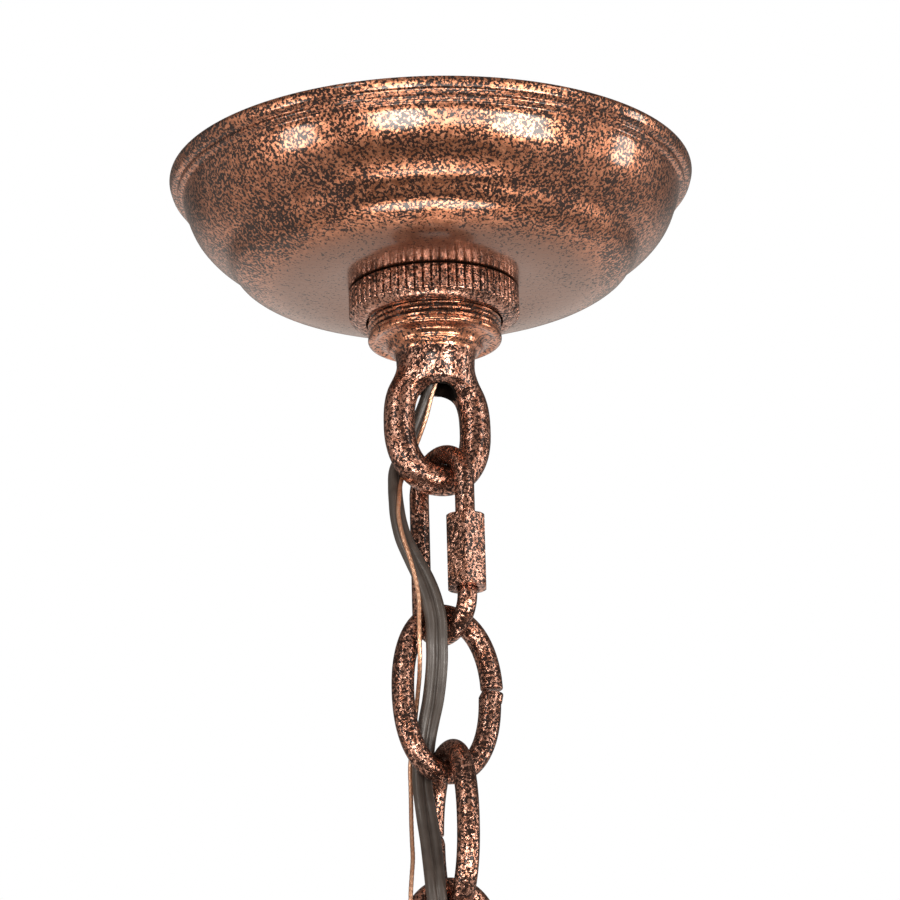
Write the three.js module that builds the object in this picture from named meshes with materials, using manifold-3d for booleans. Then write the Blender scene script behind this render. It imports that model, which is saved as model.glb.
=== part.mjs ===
// The ceiling canopy and chain of a hanging lantern, down to the lantern's own top loop.
// Millimetres, +Z up. The ceiling is the plane z = 0, and the chain hangs down the Z axis.
import * as THREE from 'three';
import { mergeVertices } from 'three/addons/utils/BufferGeometryUtils.js';
import Module from 'manifold-3d';

const wasm = await Module();
wasm.setup();

// ---------- driving dimensions ----------

// what touches on the real object keeps this much air here
const GAP = 0.3;

// canopy: a spun steel dome, given by its outer profile [radius, height] from rim to centre hole
const CANOPY_WALL = 1.0;
const CANOPY_PROFILE = [
  [63.3, 0], [63.5, -0.9], [62.9, -2.9], [61.5, -3.4], [61.3, -4.5], [60.2, -5.3],
  [60.2, -6.4], [59.4, -8.7], [58.6, -10.9], [57.5, -13.1], [55.9, -15.3], [53.9, -17.4],
  [51.9, -19.0], [50.0, -20.4], [49.0, -21.6], [48.6, -22.8], [47.5, -24.3], [45.2, -25.8],
  [42.2, -27.2], [38.8, -28.5], [34.3, -29.5], [28.7, -30.1], [22.5, -30.1], [16.9, -30.0],
];
const CANOPY_BOTTOM = -30.0;

// knurled collar ring
const RING_RADIUS = 20.6;
const RING_HEIGHT = 8.0;
const RING_CHAMFER = 1.0;
const FLUTES = 62;
const FLUTE_DEPTH = 0.45;

// ceiling loop: a casting with a threaded cup, a flange, a hollow neck and the loop
const THREAD_RADIUS = 16.2;
const THREAD_PITCH = 1.41;
const THREAD_DEPTH = 0.7;
const CUP_TOP = -21.0;
const CUP_BORE = 12.4;
const CUP_FLOOR = -34.0;
const FLANGE_TOP = -41.9;
const FLANGE_BOTTOM = -43.5;
const NECK_RADIUS = 9.6;
const WIRE_BORE = 3.7;
const LOOP_WIRE = 3.75;
const LOOP_HALF_WIDTH = 9.8;
const LOOP_TOP = -52.7;
const LOOP_BOTTOM = -78.4;
const LOOP_FULLNESS = 2.2;
const LOOP_FULLNESS_ABOVE = 2.8;

// the lantern loop's flat seat, as it lies in the ceiling loop's own heights
const SEAT_RADIUS = 14.0;
const SEAT_TOP = -46.4;
const SEAT_BOTTOM = -42.4;

// quick link and its screw sleeve; the shifts move a wire along X on the one that it hangs on
const QUICK_WIRE = 2.35;
const QUICK_HALF_WIDTH = 8.5;
const QUICK_HEIGHT = 45.6;
const QUICK_TWIST = THREE.MathUtils.degToRad(18);
const QUICK_SHIFT = 0.7;
const QUICK_GAP = [-106.2, -99.2];
const SLEEVE_Z = [-107.9, -89.9];
const SLEEVE_ACROSS_CORNERS = 10.5;
const SLEEVE_TURN = THREE.MathUtils.degToRad(20);

// chain links
const LINK_WIRE = 2.7;
const LINK_LEFT = 10.5;
const LINK_RIGHT = 11.6;
const LINK_RIGHT_ABOVE = 12.2;
const LINK_HALF_HEIGHT = 19.65;
const LINK_FULLNESS = 2.2;
const LINK_GAP = [1.15, 2.05];
const LINK_SHIFTS = [0, 1.0, 1.0];

// fittings inside the canopy
const BAR_THICKNESS = 1.8;
const BAR_WIDTH = 16.0;
const BAR_DROP = 13.0;
const BAR_HALF_LENGTH = 51.0;
const BOX_SCREW_X = 44.45;
const GROUND_SCREW_X = 15.0;
const NIPPLE_RADIUS = 4.9;
const NIPPLE_BORE = 3.75;
const NIPPLE_TOP = -8.5;
const NIPPLE_BOTTOM = -39.0;

// lamp cord and ground wire
const CORD_RADIUS = 1.7;
const GROUND_RADIUS = 0.55;
const LEAD_RADIUS = 1.1;

// heights that follow from the sizes above: each wire hangs in the one before it
const CONTACT = GAP - 0.05;
const QUICK_TOP = LOOP_BOTTOM + LOOP_WIRE + QUICK_WIRE + CONTACT;
const QUICK_BOTTOM = QUICK_TOP - QUICK_HEIGHT;
const LINK_1_TOP = QUICK_BOTTOM + QUICK_WIRE + LINK_WIRE + CONTACT;
const LINK_STEP = 2 * LINK_HALF_HEIGHT - 2 * LINK_WIRE - CONTACT;
const LINK_TOPS = [0, 1, 2].map((n) => LINK_1_TOP - n * LINK_STEP);
const LAST_BOTTOM = LINK_TOPS[2] - 2 * LINK_HALF_HEIGHT;
const LANTERN_LOOP_TOP = LAST_BOTTOM + LINK_WIRE + LOOP_WIRE + CONTACT;

// ---------- helpers ----------

function toSolid(geometry) {
  const bare = geometry.clone();
  bare.deleteAttribute('normal');
  bare.deleteAttribute('uv');
  const merged = mergeVertices(bare, 1e-4);
  const index = merged.index.array;
  const kept = [];
  for (let i = 0; i < index.length; i += 3) {
    const [a, b, c] = [index[i], index[i + 1], index[i + 2]];
    if (a !== b && b !== c && a !== c) kept.push(a, b, c);
  }
  return new wasm.Manifold(new wasm.Mesh({
    numProp: 3,
    vertProperties: new Float32Array(merged.attributes.position.array),
    triVerts: new Uint32Array(kept),
  }));
}

function toGeometry(solid) {
  const { vertProperties, triVerts } = solid.getMesh();
  const geometry = new THREE.BufferGeometry();
  geometry.setAttribute('position', new THREE.BufferAttribute(vertProperties, 3));
  geometry.setIndex(new THREE.BufferAttribute(triVerts, 1));
  return geometry;
}

// turns a closed [radius, height] profile, listed with its outer side going up, about the Z axis
function lathe(profile, segments) {
  const closed = [...profile, profile[0]].map(([r, z]) => new THREE.Vector2(r, z));
  return new THREE.LatheGeometry(closed, segments).rotateX(Math.PI / 2);
}

// a ring or tube of square section
function ringGeometry(inner, outer, bottom, top, segments) {
  return lathe([[inner, bottom], [outer, bottom], [outer, top], [inner, top]], segments);
}

// a solid of revolution, from [radius, height] points listed from the bottom up
function turned(points, segments) {
  const first = points[0];
  const last = points[points.length - 1];
  const profile = [[0, first[1]], ...points, [0, last[1]]];
  return new THREE.LatheGeometry(profile.map(([r, z]) => new THREE.Vector2(r, z)), segments)
    .rotateX(Math.PI / 2);
}

function polygon(radius, sides, turn = 0) {
  const points = [];
  for (let i = 0; i < sides; i += 1) {
    const a = turn + (2 * Math.PI * i) / sides;
    points.push(new THREE.Vector2(radius * Math.cos(a), radius * Math.sin(a)));
  }
  return points;
}

// a straight bar along Z from an outline, with optional round holes
function prism(outline, bottom, top, holes = []) {
  const shape = new THREE.Shape(outline);
  holes.forEach((points) => shape.holes.push(new THREE.Path(points)));
  return new THREE.ExtrudeGeometry(shape, { depth: top - bottom, bevelEnabled: false })
    .translate(0, 0, bottom);
}

function tube(curve, radius, sides, steps) {
  const section = new THREE.Shape(polygon(radius, sides));
  return new THREE.ExtrudeGeometry(section, { steps, extrudePath: curve, bevelEnabled: false });
}

// an oval in the XZ plane, from one angle to another, fuller than an ellipse; its upper half,
// or the right of its upper half, may differ
class OvalCurve extends THREE.Curve {
  constructor(shape) {
    super();
    Object.assign(this, { rightAbove: shape.right, fullnessAbove: shape.fullness }, shape);
  }

  getPoint(t, target = new THREE.Vector3()) {
    const angle = this.from + t * (this.to - this.from);
    const c = Math.cos(angle);
    const s = Math.sin(angle);
    const power = 2 / (s > 0 ? this.fullnessAbove : this.fullness);
    const right = s > 0 ? this.rightAbove : this.right;
    const x = (c < 0 ? this.left : right) * Math.sign(c) * Math.abs(c) ** power;
    const z = this.middle + this.halfHeight * Math.sign(s) * Math.abs(s) ** power;
    return target.set(x, 0, z);
  }
}

// a round bend in the XZ plane
class BendCurve extends THREE.Curve {
  constructor(radius, middle, from, to) {
    super();
    Object.assign(this, { radius, middle, from, to });
  }

  getPoint(t, target = new THREE.Vector3()) {
    const angle = this.from + t * (this.to - this.from);
    return target.set(this.radius * Math.cos(angle), 0, this.middle + this.radius * Math.sin(angle));
  }
}

// a stretch of a longer curve, between two shares of its length
class Stretch extends THREE.Curve {
  constructor(whole, from, to) {
    super();
    Object.assign(this, { whole, from, to });
  }

  getPoint(t, target = new THREE.Vector3()) {
    return this.whole.getPointAt(this.from + t * (this.to - this.from), target);
  }
}

// ---------- materials ----------

function finish(color, roughness, metalness) {
  return () => new THREE.MeshStandardMaterial({ color, roughness, metalness });
}

const antiqueCopper = finish(0x8a5440, 0.4, 0.9);
const zincSteel = finish(0xa9adb0, 0.35, 1.0);
const brass = finish(0xb8935a, 0.35, 1.0);
const bareCopper = finish(0xc98556, 0.35, 1.0);
const greyCord = finish(0x544c46, 0.35, 0.0);
const connectorOrange = finish(0xd9722a, 0.5, 0.0);
const groundGreen = finish(0x2f7a45, 0.4, 0.6);

const lantern = new THREE.Group();

function add(name, geometry, material) {
  const mesh = new THREE.Mesh(geometry, material());
  mesh.name = name;
  lantern.add(mesh);
  return mesh;
}

// turns a piece about the Z axis, then moves it along X
function place(mesh, turn, shift) {
  mesh.rotation.z = turn;
  mesh.position.x = shift;
}

// ---------- canopy ----------

// the outer profile, then an inner one that is plainer and one wall thickness further in
function shellProfile(outer, wall) {
  const last = outer.length - 1;
  const inner = outer.map(([r, z], i) => {
    if (i === 0) return [r - wall, z];
    if (i === last) return [r, z + wall];
    const [r0, z0] = outer[i - 1];
    const [r1, z1] = outer[i + 1];
    const length = Math.hypot(r1 - r0, z1 - z0);
    return [r + (wall * (z1 - z0)) / length, z - (wall * (r1 - r0)) / length];
  }).filter((point, i) => i === 0 || i === last || i % 2 === 0);
  return [...outer.slice().reverse(), ...inner];
}

add('canopy', lathe(shellProfile(CANOPY_PROFILE, CANOPY_WALL), 40), antiqueCopper);

// ---------- collar ring ----------

function collarRing() {
  const top = CANOPY_BOTTOM - GAP;
  const bottom = top - RING_HEIGHT;
  const bore = THREAD_RADIUS + GAP;
  const outline = [];
  for (let i = 0; i < FLUTES; i += 1) {
    const middle = (2 * Math.PI * i) / FLUTES;
    const quarter = (Math.PI * 0.5) / FLUTES;
    for (const [turn, radius] of [
      [-1.3 * quarter, RING_RADIUS], [1.3 * quarter, RING_RADIUS],
      [2 * quarter, RING_RADIUS - FLUTE_DEPTH],
    ]) {
      outline.push(new THREE.Vector2(radius * Math.cos(middle + turn), radius * Math.sin(middle + turn)));
    }
  }
  const fluted = toSolid(prism(outline, bottom - 1, top + 1));
  const blank = toSolid(lathe([
    [bore, bottom], [bore + 1.2, bottom], [RING_RADIUS - 1.3, bottom + 0.7],
    [RING_RADIUS, bottom + 0.7 + RING_CHAMFER], [RING_RADIUS, top - 0.5],
    [RING_RADIUS - 0.5, top], [bore, top],
  ], 44));
  return toGeometry(fluted.intersect(blank));
}

add('collar_ring', collarRing(), antiqueCopper);

// ---------- loops ----------

// joins the cast loop to its neck: shoulders, the loop's opening, and a flared hole for the wires
function castLoop(neck) {
  const middle = (LOOP_TOP + LOOP_BOTTOM) / 2;
  const oval = {
    left: LOOP_HALF_WIDTH,
    right: LOOP_HALF_WIDTH,
    halfHeight: (LOOP_TOP - LOOP_BOTTOM) / 2,
    middle,
    fullness: LOOP_FULLNESS,
    fullnessAbove: LOOP_FULLNESS_ABOVE,
  };
  const start = THREE.MathUtils.degToRad(78);
  const curve = new OvalCurve({ ...oval, from: Math.PI - start, to: 2 * Math.PI + start });
  const wire = toSolid(tube(curve, LOOP_WIRE, 12, 30));
  const shoulders = toSolid(new THREE.SphereGeometry(1, 20, 12).rotateX(Math.PI / 2)
    .scale(LOOP_HALF_WIDTH + 1.6, 5.0, 5.2).translate(0, 0, LOOP_TOP - 1.7));
  const opening = new THREE.Shape();
  const across = LOOP_HALF_WIDTH - LOOP_WIRE;
  const high = oval.halfHeight - LOOP_WIRE;
  for (let i = 0; i < 28; i += 1) {
    const a = (2 * Math.PI * i) / 28;
    const power = 2 / LOOP_FULLNESS;
    const x = across * Math.sign(Math.cos(a)) * Math.abs(Math.cos(a)) ** power;
    const z = middle + high * Math.sign(Math.sin(a)) * Math.abs(Math.sin(a)) ** power;
    if (i === 0) opening.moveTo(x, z);
    else opening.lineTo(x, z);
  }
  const window = toSolid(new THREE.ExtrudeGeometry(opening, { depth: 30, bevelEnabled: false })
    .rotateX(Math.PI / 2).translate(0, 15, 0));
  const wireHole = toSolid(turned([
    [WIRE_BORE + 3.2, LOOP_TOP - 6], [WIRE_BORE, LOOP_TOP + 1.5], [WIRE_BORE, FLANGE_BOTTOM - 2.3],
  ], 20));
  return neck.add(shoulders).subtract(window).add(wire).subtract(wireHole);
}

function threadProfile(bottom, top) {
  const points = [];
  const turns = Math.floor((top - bottom) / THREAD_PITCH);
  for (let i = 0; i < turns; i += 1) {
    points.push([THREAD_RADIUS, bottom + (i + 0.3) * THREAD_PITCH]);
    points.push([THREAD_RADIUS - THREAD_DEPTH, bottom + (i + 0.8) * THREAD_PITCH]);
  }
  return points;
}

function ceilingLoop() {
  const body = toSolid(lathe([
    [WIRE_BORE, LOOP_TOP - 2], [NECK_RADIUS - 2.4, LOOP_TOP - 2], [NECK_RADIUS - 0.4, -49.0],
    [NECK_RADIUS, -46.6], [NECK_RADIUS + 1.4, FLANGE_BOTTOM - 1.9],
    [NECK_RADIUS + 1.6, FLANGE_BOTTOM - 0.9], [NECK_RADIUS + 1.9, FLANGE_BOTTOM],
    [THREAD_RADIUS - 0.9, FLANGE_BOTTOM], [THREAD_RADIUS, FLANGE_BOTTOM + 0.7], [THREAD_RADIUS, FLANGE_TOP],
    [THREAD_RADIUS - THREAD_DEPTH, FLANGE_TOP + 0.2],
    ...threadProfile(FLANGE_TOP + 0.2, CUP_TOP - 0.6),
    [THREAD_RADIUS - THREAD_DEPTH, CUP_TOP], [CUP_BORE, CUP_TOP], [CUP_BORE, CUP_FLOOR],
    [NIPPLE_RADIUS + GAP, CUP_FLOOR], [NIPPLE_RADIUS + GAP, NIPPLE_BOTTOM - GAP],
    [WIRE_BORE, NIPPLE_BOTTOM - GAP - 1],
  ], 26));
  return castLoop(body);
}

add('ceiling_loop', toGeometry(ceilingLoop()), antiqueCopper);

// the lantern's own loop: the same casting upside down, on a flat seat in place of the threaded cup
function lanternLoop() {
  const body = toSolid(lathe([
    [WIRE_BORE, LOOP_TOP - 2], [NECK_RADIUS - 2.4, LOOP_TOP - 2], [NECK_RADIUS - 0.4, -49.0],
    [NECK_RADIUS, SEAT_TOP - 0.8], [NECK_RADIUS + 1.2, SEAT_TOP], [SEAT_RADIUS - 0.8, SEAT_TOP],
    [SEAT_RADIUS, SEAT_TOP + 0.8], [SEAT_RADIUS, SEAT_BOTTOM - 0.5], [SEAT_RADIUS - 0.5, SEAT_BOTTOM],
    [NIPPLE_RADIUS + GAP, SEAT_BOTTOM], [NIPPLE_RADIUS + GAP, SEAT_BOTTOM - 2.8],
    [WIRE_BORE, SEAT_BOTTOM - 3.4],
  ], 30));
  return toGeometry(castLoop(body))
    .rotateX(Math.PI).rotateZ(Math.PI / 2).translate(0, 0, LANTERN_LOOP_TOP + LOOP_BOTTOM);
}

add('lantern_loop', lanternLoop(), antiqueCopper);

// ---------- quick link ----------

function quickLinkCurve() {
  const upper = QUICK_TOP - QUICK_HALF_WIDTH;
  const lower = QUICK_BOTTOM + QUICK_HALF_WIDTH;
  const [gapBottom, gapTop] = QUICK_GAP;
  const point = (x, z) => new THREE.Vector3(x, 0, z);
  const path = new THREE.CurvePath();
  path.add(new THREE.LineCurve3(point(QUICK_HALF_WIDTH, gapTop), point(QUICK_HALF_WIDTH, upper)));
  path.add(new BendCurve(QUICK_HALF_WIDTH, upper, 0, Math.PI));
  path.add(new THREE.LineCurve3(point(-QUICK_HALF_WIDTH, upper), point(-QUICK_HALF_WIDTH, lower)));
  path.add(new BendCurve(QUICK_HALF_WIDTH, lower, Math.PI, 2 * Math.PI));
  path.add(new THREE.LineCurve3(point(QUICK_HALF_WIDTH, lower), point(QUICK_HALF_WIDTH, gapBottom)));
  return path;
}

const QUICK_TURN = -Math.PI / 2 + QUICK_TWIST;

place(add('quick_link', tube(quickLinkCurve(), QUICK_WIRE, 10, 44), antiqueCopper), QUICK_TURN, QUICK_SHIFT);

function sleeve() {
  const [bottom, top] = SLEEVE_Z;
  const hexagon = polygon(SLEEVE_ACROSS_CORNERS / 2, 6, SLEEVE_TURN);
  const bore = polygon(QUICK_WIRE + GAP, 12).reverse();
  return prism(hexagon, bottom, top, [bore]).translate(QUICK_HALF_WIDTH, 0, 0);
}

place(add('quick_link_sleeve', sleeve(), antiqueCopper), QUICK_TURN, QUICK_SHIFT);

// ---------- chain links ----------

// bent from round wire, with its ends nearly meeting half way up one side
function linkGeometry(top) {
  const angleAt = (height) => Math.asin((height / LINK_HALF_HEIGHT) ** (LINK_FULLNESS / 2));
  const curve = new OvalCurve({
    left: LINK_LEFT,
    right: LINK_RIGHT,
    rightAbove: LINK_RIGHT_ABOVE,
    halfHeight: LINK_HALF_HEIGHT,
    middle: top - LINK_HALF_HEIGHT,
    fullness: LINK_FULLNESS,
    from: angleAt(LINK_GAP[1]),
    to: 2 * Math.PI + angleAt(LINK_GAP[0]),
  });
  return tube(curve, LINK_WIRE, 10, 44);
}

// successive links stand at right angles
const LINK_TURNS = [0, Math.PI / 2, Math.PI];
LINK_TOPS.forEach((top, n) => {
  place(add(`chain_link_${n + 1}`, linkGeometry(top), antiqueCopper), LINK_TURNS[n], LINK_SHIFTS[n]);
});

// ---------- mounting bar, nipple and fasteners inside the canopy ----------

function mountingBar() {
  const half = BAR_HALF_LENGTH;
  const side = [
    [-half, 0], [-31, 0], [-19, -BAR_DROP], [19, -BAR_DROP], [31, 0], [half, 0],
    [half, -BAR_THICKNESS], [31.6, -BAR_THICKNESS], [19.6, -BAR_DROP - BAR_THICKNESS],
    [-19.6, -BAR_DROP - BAR_THICKNESS], [-31.6, -BAR_THICKNESS], [-half, -BAR_THICKNESS],
  ].map(([x, z]) => new THREE.Vector2(x, z)).reverse();
  const strip = toSolid(new THREE.ExtrudeGeometry(new THREE.Shape(side), {
    depth: BAR_WIDTH, bevelEnabled: false,
  }).rotateX(Math.PI / 2).translate(0, BAR_WIDTH / 2, 0));
  const slotOutline = [
    ...polygon(2.4, 12).slice(0, 7).map((p) => new THREE.Vector2(p.x, p.y + 3)),
    ...polygon(2.4, 12).slice(6).map((p) => new THREE.Vector2(p.x, p.y - 3)),
    new THREE.Vector2(2.4, -3),
  ].map((p) => new THREE.Vector2(p.y, -p.x));
  const slot = (x) => toSolid(prism(slotOutline, -5, 3).translate(x, 0, 0));
  const centreHole = toSolid(prism(polygon(NIPPLE_RADIUS + GAP, 20), -20, -5));
  const groundHole = toSolid(prism(polygon(1.75, 10), -20, -5).translate(GROUND_SCREW_X, 0, 0));
  return toGeometry([slot(-BOX_SCREW_X), slot(BOX_SCREW_X), centreHole, groundHole]
    .reduce((bar, cut) => bar.subtract(cut), strip));
}

add('mounting_bar', mountingBar(), zincSteel);

add('threaded_nipple', ringGeometry(NIPPLE_BORE, NIPPLE_RADIUS, NIPPLE_BOTTOM, NIPPLE_TOP, 20), brass);

function hexNut(bottom, height, acrossCorners) {
  const hole = polygon(NIPPLE_RADIUS + GAP, 18).reverse();
  return prism(polygon(acrossCorners / 2, 6), bottom, bottom + height, [hole]);
}

const BAR_UNDERSIDE = -BAR_DROP - BAR_THICKNESS;
add('bar_locknut', hexNut(-BAR_DROP + GAP, 3.5, 17.0), brass);
add('lock_washer',
  ringGeometry(NIPPLE_RADIUS + GAP, 8.0, BAR_UNDERSIDE - GAP - 1, BAR_UNDERSIDE - GAP, 20), zincSteel);
add('jam_nut', hexNut(BAR_UNDERSIDE - 2 * GAP - 4.5, 3.5, 17.0), brass);

// a slotted screw standing up through the bar, with its head under the bar
function boxScrew() {
  const seat = -BAR_THICKNESS - GAP;
  const screw = toSolid(turned([
    [2.6, seat - 2.6], [3.7, seat - 1.8], [3.9, seat], [1.95, seat], [1.95, 8], [1.2, 9],
  ], 14));
  const slot = toSolid(new THREE.BoxGeometry(12, 0.9, 2).translate(0, 0, seat - 2.6));
  return screw.subtract(slot);
}

for (const [name, x] of [['box_screw_left', -BOX_SCREW_X], ['box_screw_right', BOX_SCREW_X]]) {
  add(name, toGeometry(boxScrew()), brass).position.x = x;
}

// the ground screw clamps the ground wire's end against the bar's upper face
const GROUND_WIRE_Z = -BAR_DROP + GAP + GROUND_RADIUS;
const groundHead = GROUND_WIRE_Z + GROUND_RADIUS + GAP;
const groundScrew = toSolid(turned([
  [1.0, BAR_UNDERSIDE - 4], [1.45, BAR_UNDERSIDE - 3.4], [1.45, groundHead],
  [3.6, groundHead], [3.6, groundHead + 1.6], [2.8, groundHead + 2.3],
], 14)).subtract(toSolid(new THREE.BoxGeometry(12, 0.9, 2).translate(0, 0, groundHead + 2.4)));
add('ground_screw', toGeometry(groundScrew), groundGreen).position.x = GROUND_SCREW_X;

// ---------- lamp cord and ground wire ----------

// down the nipple and the loop's neck, then woven down the chain into the lantern's loop
const CORD_ROUTE = [
  [-0.5, 0.9, -9], [-0.5, 0.9, -22], [-0.5, 0.9, -38], [-0.6, 1.1, -47.5], [-0.9, 2.1, -53.0],
  [-1.5, 4.2, -57.2], [-2.7, 5.8, -61.5], [-4.5, 6.8, -66.5], [-6.8, 7.2, -71.5],
  [-8.4, 6.7, -75.6], [-9.1, 5.4, -79.8], [-9.7, 3.4, -84.0], [-9.9, 1.7, -88.8],
  [-9.3, -0.1, -94.4], [-7.7, -2.0, -99.8], [-5.9, -3.7, -105.2], [-4.6, -4.9, -110.4],
  [-3.8, -5.4, -115.6], [-3.6, -5.1, -120.3], [-3.2, -3.9, -125.0], [-3.0, -2.2, -129.4],
  [-3.0, -0.2, -134.0], [-3.3, 1.9, -138.3], [-3.6, 3.6, -142.6], [-3.8, 4.6, -146.7],
  [-4.2, 4.9, -150.6], [-4.4, 4.2, -154.6], [-4.4, 3.1, -158.8], [-4.3, 1.9, -163.4],
  [-4.4, 0.1, -168.4], [-4.8, -2.0, -173.8], [-5.3, -4.1, -178.4], [-5.4, -5.1, -182.4],
  [-5.0, -5.1, -186.2], [-4.2, -4.0, -191.0], [-3.5, -2.4, -196.0], [-3.4, -0.2, -201.2],
  [-4.6, 2.3, -205.6], [-6.0, 4.2, -210.2], [-6.5, 4.8, -215.0], [-6.2, 4.6, -219.4],
  [-5.0, 3.6, -223.8], [-3.1, 2.3, -228.2], [-1.0, 1.2, -232.8], [0.6, 0.6, -237.8],
  [0.9, 0.4, -244.0],
];
const GROUND_ROUTE = [
  [GROUND_SCREW_X + 2.6, -3.0, GROUND_WIRE_Z], [GROUND_SCREW_X - 1.0, -2.8, GROUND_WIRE_Z],
  [11.6, -2.6, -12.0], [9.8, -2.4, -8.8], [6.0, -2.2, -6.6], [2.4, -2.0, -7.2], [0.9, -1.9, -9.8],
  [0.6, -1.9, -14], [0.6, -1.9, -24], [0.6, -1.9, -38], [0.6, -1.6, -47], [0.1, -0.6, -52.5],
  [-0.9, 1.2, -57.0], [-1.5, 2.8, -61.0], [-2.6, 3.9, -65.0], [-4.4, 4.6, -70.0], [-6.3, 4.9, -74.4],
  [-8.4, 3.4, -78.8], [-9.9, 1.0, -83.7], [-10.8, -0.6, -88.6], [-10.5, -2.3, -94.2], [-9.4, -3.7, -100.0],
  [-8.3, -4.3, -105.5], [-7.7, -4.6, -110.5], [-7.7, -4.5, -115.4], [-7.6, -4.1, -120.2],
  [-7.1, -2.8, -124.6], [-6.5, -0.7, -128.4], [-6.1, 1.6, -132.0], [-5.9, 3.6, -136.0],
  [-6.0, 4.9, -140.2], [-6.3, 5.9, -144.6], [-6.6, 6.4, -149.0], [-6.8, 5.9, -153.4], [-7.2, 4.9, -158.0],
  [-7.8, 3.5, -163.0], [-8.5, 1.6, -168.2], [-9.4, -0.9, -173.6], [-10.5, -2.7, -178.6],
  [-11.2, -3.6, -183.2], [-11.3, -4.0, -187.6], [-10.2, -4.3, -192.2], [-7.6, -3.6, -196.8],
  [-6.6, 0.1, -201.4], [-7.2, 3.4, -206.2], [-8.7, 5.8, -211.0], [-9.4, 7.1, -215.8],
  [-8.7, 6.4, -220.2], [-7.2, 4.9, -224.6], [-5.3, 3.0, -229.0], [-3.2, 1.1, -233.4],
  [-2.1, 0.2, -238.2], [-1.9, 0, -244.0],
];

// cords are cut where they pass the middle of each link, so that each stretch crosses one joint
const CUTS = [-97.0, ...LINK_TOPS.map((top) => top - LINK_HALF_HEIGHT)];

function shareAtHeight(curve, height) {
  let [low, high] = [0.08, 1];
  for (let i = 0; i < 40; i += 1) {
    const middle = (low + high) / 2;
    if (curve.getPointAt(middle).z > height) low = middle;
    else high = middle;
  }
  return low;
}

function addStretches(name, route, radius, material, stepLength) {
  const curve = new THREE.CatmullRomCurve3(route.map((p) => new THREE.Vector3(...p)), false, 'centripetal');
  curve.arcLengthDivisions = 600;
  const length = curve.getLength();
  const ends = [0, ...CUTS.map((z) => shareAtHeight(curve, z)), 1];
  for (let i = 0; i + 1 < ends.length; i += 1) {
    const from = ends[i] + (i ? GAP / 2 / length : 0);
    const to = ends[i + 1] - (i + 2 < ends.length ? GAP / 2 / length : 0);
    const steps = Math.round(((to - from) * length) / stepLength);
    add(`${name}_${i + 1}`, tube(new Stretch(curve, from, to), radius, 8, steps), material);
  }
}

addStretches('lamp_cord', CORD_ROUTE, CORD_RADIUS, greyCord, 5.5);
addStretches('ground_wire', GROUND_ROUTE, GROUND_RADIUS, bareCopper, 5.0);

// the cord's two conductors part above the nipple and end in screw-on connectors
const CONNECTOR_TIP = new THREE.Vector3(-22, 22, -13);

function lead(side) {
  const route = [
    [-0.5, 0.9 + side * 1.25, -8.7], [-1.4, 0.6 + side * 2.0, -6.4], [-4.2, side * 4.4, -4.8],
    [-8.2, side * 8.6, -5.6], [-13.0, side * 13.0, -8.8],
    [CONNECTOR_TIP.x + 5, side * (CONNECTOR_TIP.y - 5), -11.9],
    [CONNECTOR_TIP.x, side * CONNECTOR_TIP.y, CONNECTOR_TIP.z],
  ].map((p) => new THREE.Vector3(...p));
  return tube(new THREE.CatmullRomCurve3(route, false, 'centripetal'), LEAD_RADIUS, 8, 14);
}

// a hollow cone lying along the lead, open at its wide end
function connector(side) {
  const cone = lathe([
    [1.6, 0], [4.6, 0], [4.9, 3], [4.6, 6], [2.4, 16], [0.8, 17], [0.8, 15.5], [1.6, 14],
  ], 14);
  const direction = new THREE.Vector3(-1, side, -0.15).normalize();
  const turn = new THREE.Quaternion().setFromUnitVectors(new THREE.Vector3(0, 0, 1), direction);
  const start = new THREE.Vector3(CONNECTOR_TIP.x, side * CONNECTOR_TIP.y, CONNECTOR_TIP.z)
    .addScaledVector(direction, GAP);
  return cone.applyQuaternion(turn).translate(start.x, start.y, start.z);
}

for (const [name, side] of [['line', 1], ['neutral', -1]]) {
  add(`${name}_lead`, lead(side), greyCord);
  add(`${name}_connector`, connector(side), connectorOrange);
}

export default lantern;
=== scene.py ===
"""The looks of a lantern's ceiling canopy and chain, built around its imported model. Metres, +Z up."""
import math

import bmesh
import bpy
import numpy as np
from mathutils import Matrix, Vector


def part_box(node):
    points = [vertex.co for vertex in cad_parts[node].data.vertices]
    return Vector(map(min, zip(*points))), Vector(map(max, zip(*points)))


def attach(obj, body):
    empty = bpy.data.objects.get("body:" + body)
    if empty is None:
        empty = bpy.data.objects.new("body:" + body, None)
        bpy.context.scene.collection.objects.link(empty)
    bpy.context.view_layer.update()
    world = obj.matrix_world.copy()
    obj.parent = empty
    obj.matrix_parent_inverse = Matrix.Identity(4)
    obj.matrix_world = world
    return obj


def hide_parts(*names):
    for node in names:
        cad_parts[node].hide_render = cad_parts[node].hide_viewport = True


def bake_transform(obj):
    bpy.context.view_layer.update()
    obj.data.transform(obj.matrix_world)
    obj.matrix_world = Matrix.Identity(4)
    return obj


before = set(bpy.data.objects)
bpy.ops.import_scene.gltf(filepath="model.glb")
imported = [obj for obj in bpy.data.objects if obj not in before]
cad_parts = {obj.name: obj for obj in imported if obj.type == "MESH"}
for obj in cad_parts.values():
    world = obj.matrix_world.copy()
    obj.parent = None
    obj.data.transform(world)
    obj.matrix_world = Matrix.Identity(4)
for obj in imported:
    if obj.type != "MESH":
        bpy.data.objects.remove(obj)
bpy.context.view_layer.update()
SCENE = bpy.context.scene
UP = Vector((0, 0, 1))
TURN = 2 * math.pi


# ---------- camera ----------

AZIMUTH = math.radians(-22.0)
PITCH = math.radians(19.455)
ROLL = math.radians(-1.55)
CAMERA_BACK = 1.5
CAMERA_BELOW = 0.60068
CAMERA_ASIDE = 0.00291
LENS_MM = 265.34
SENSOR_MM = 36.0

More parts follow.
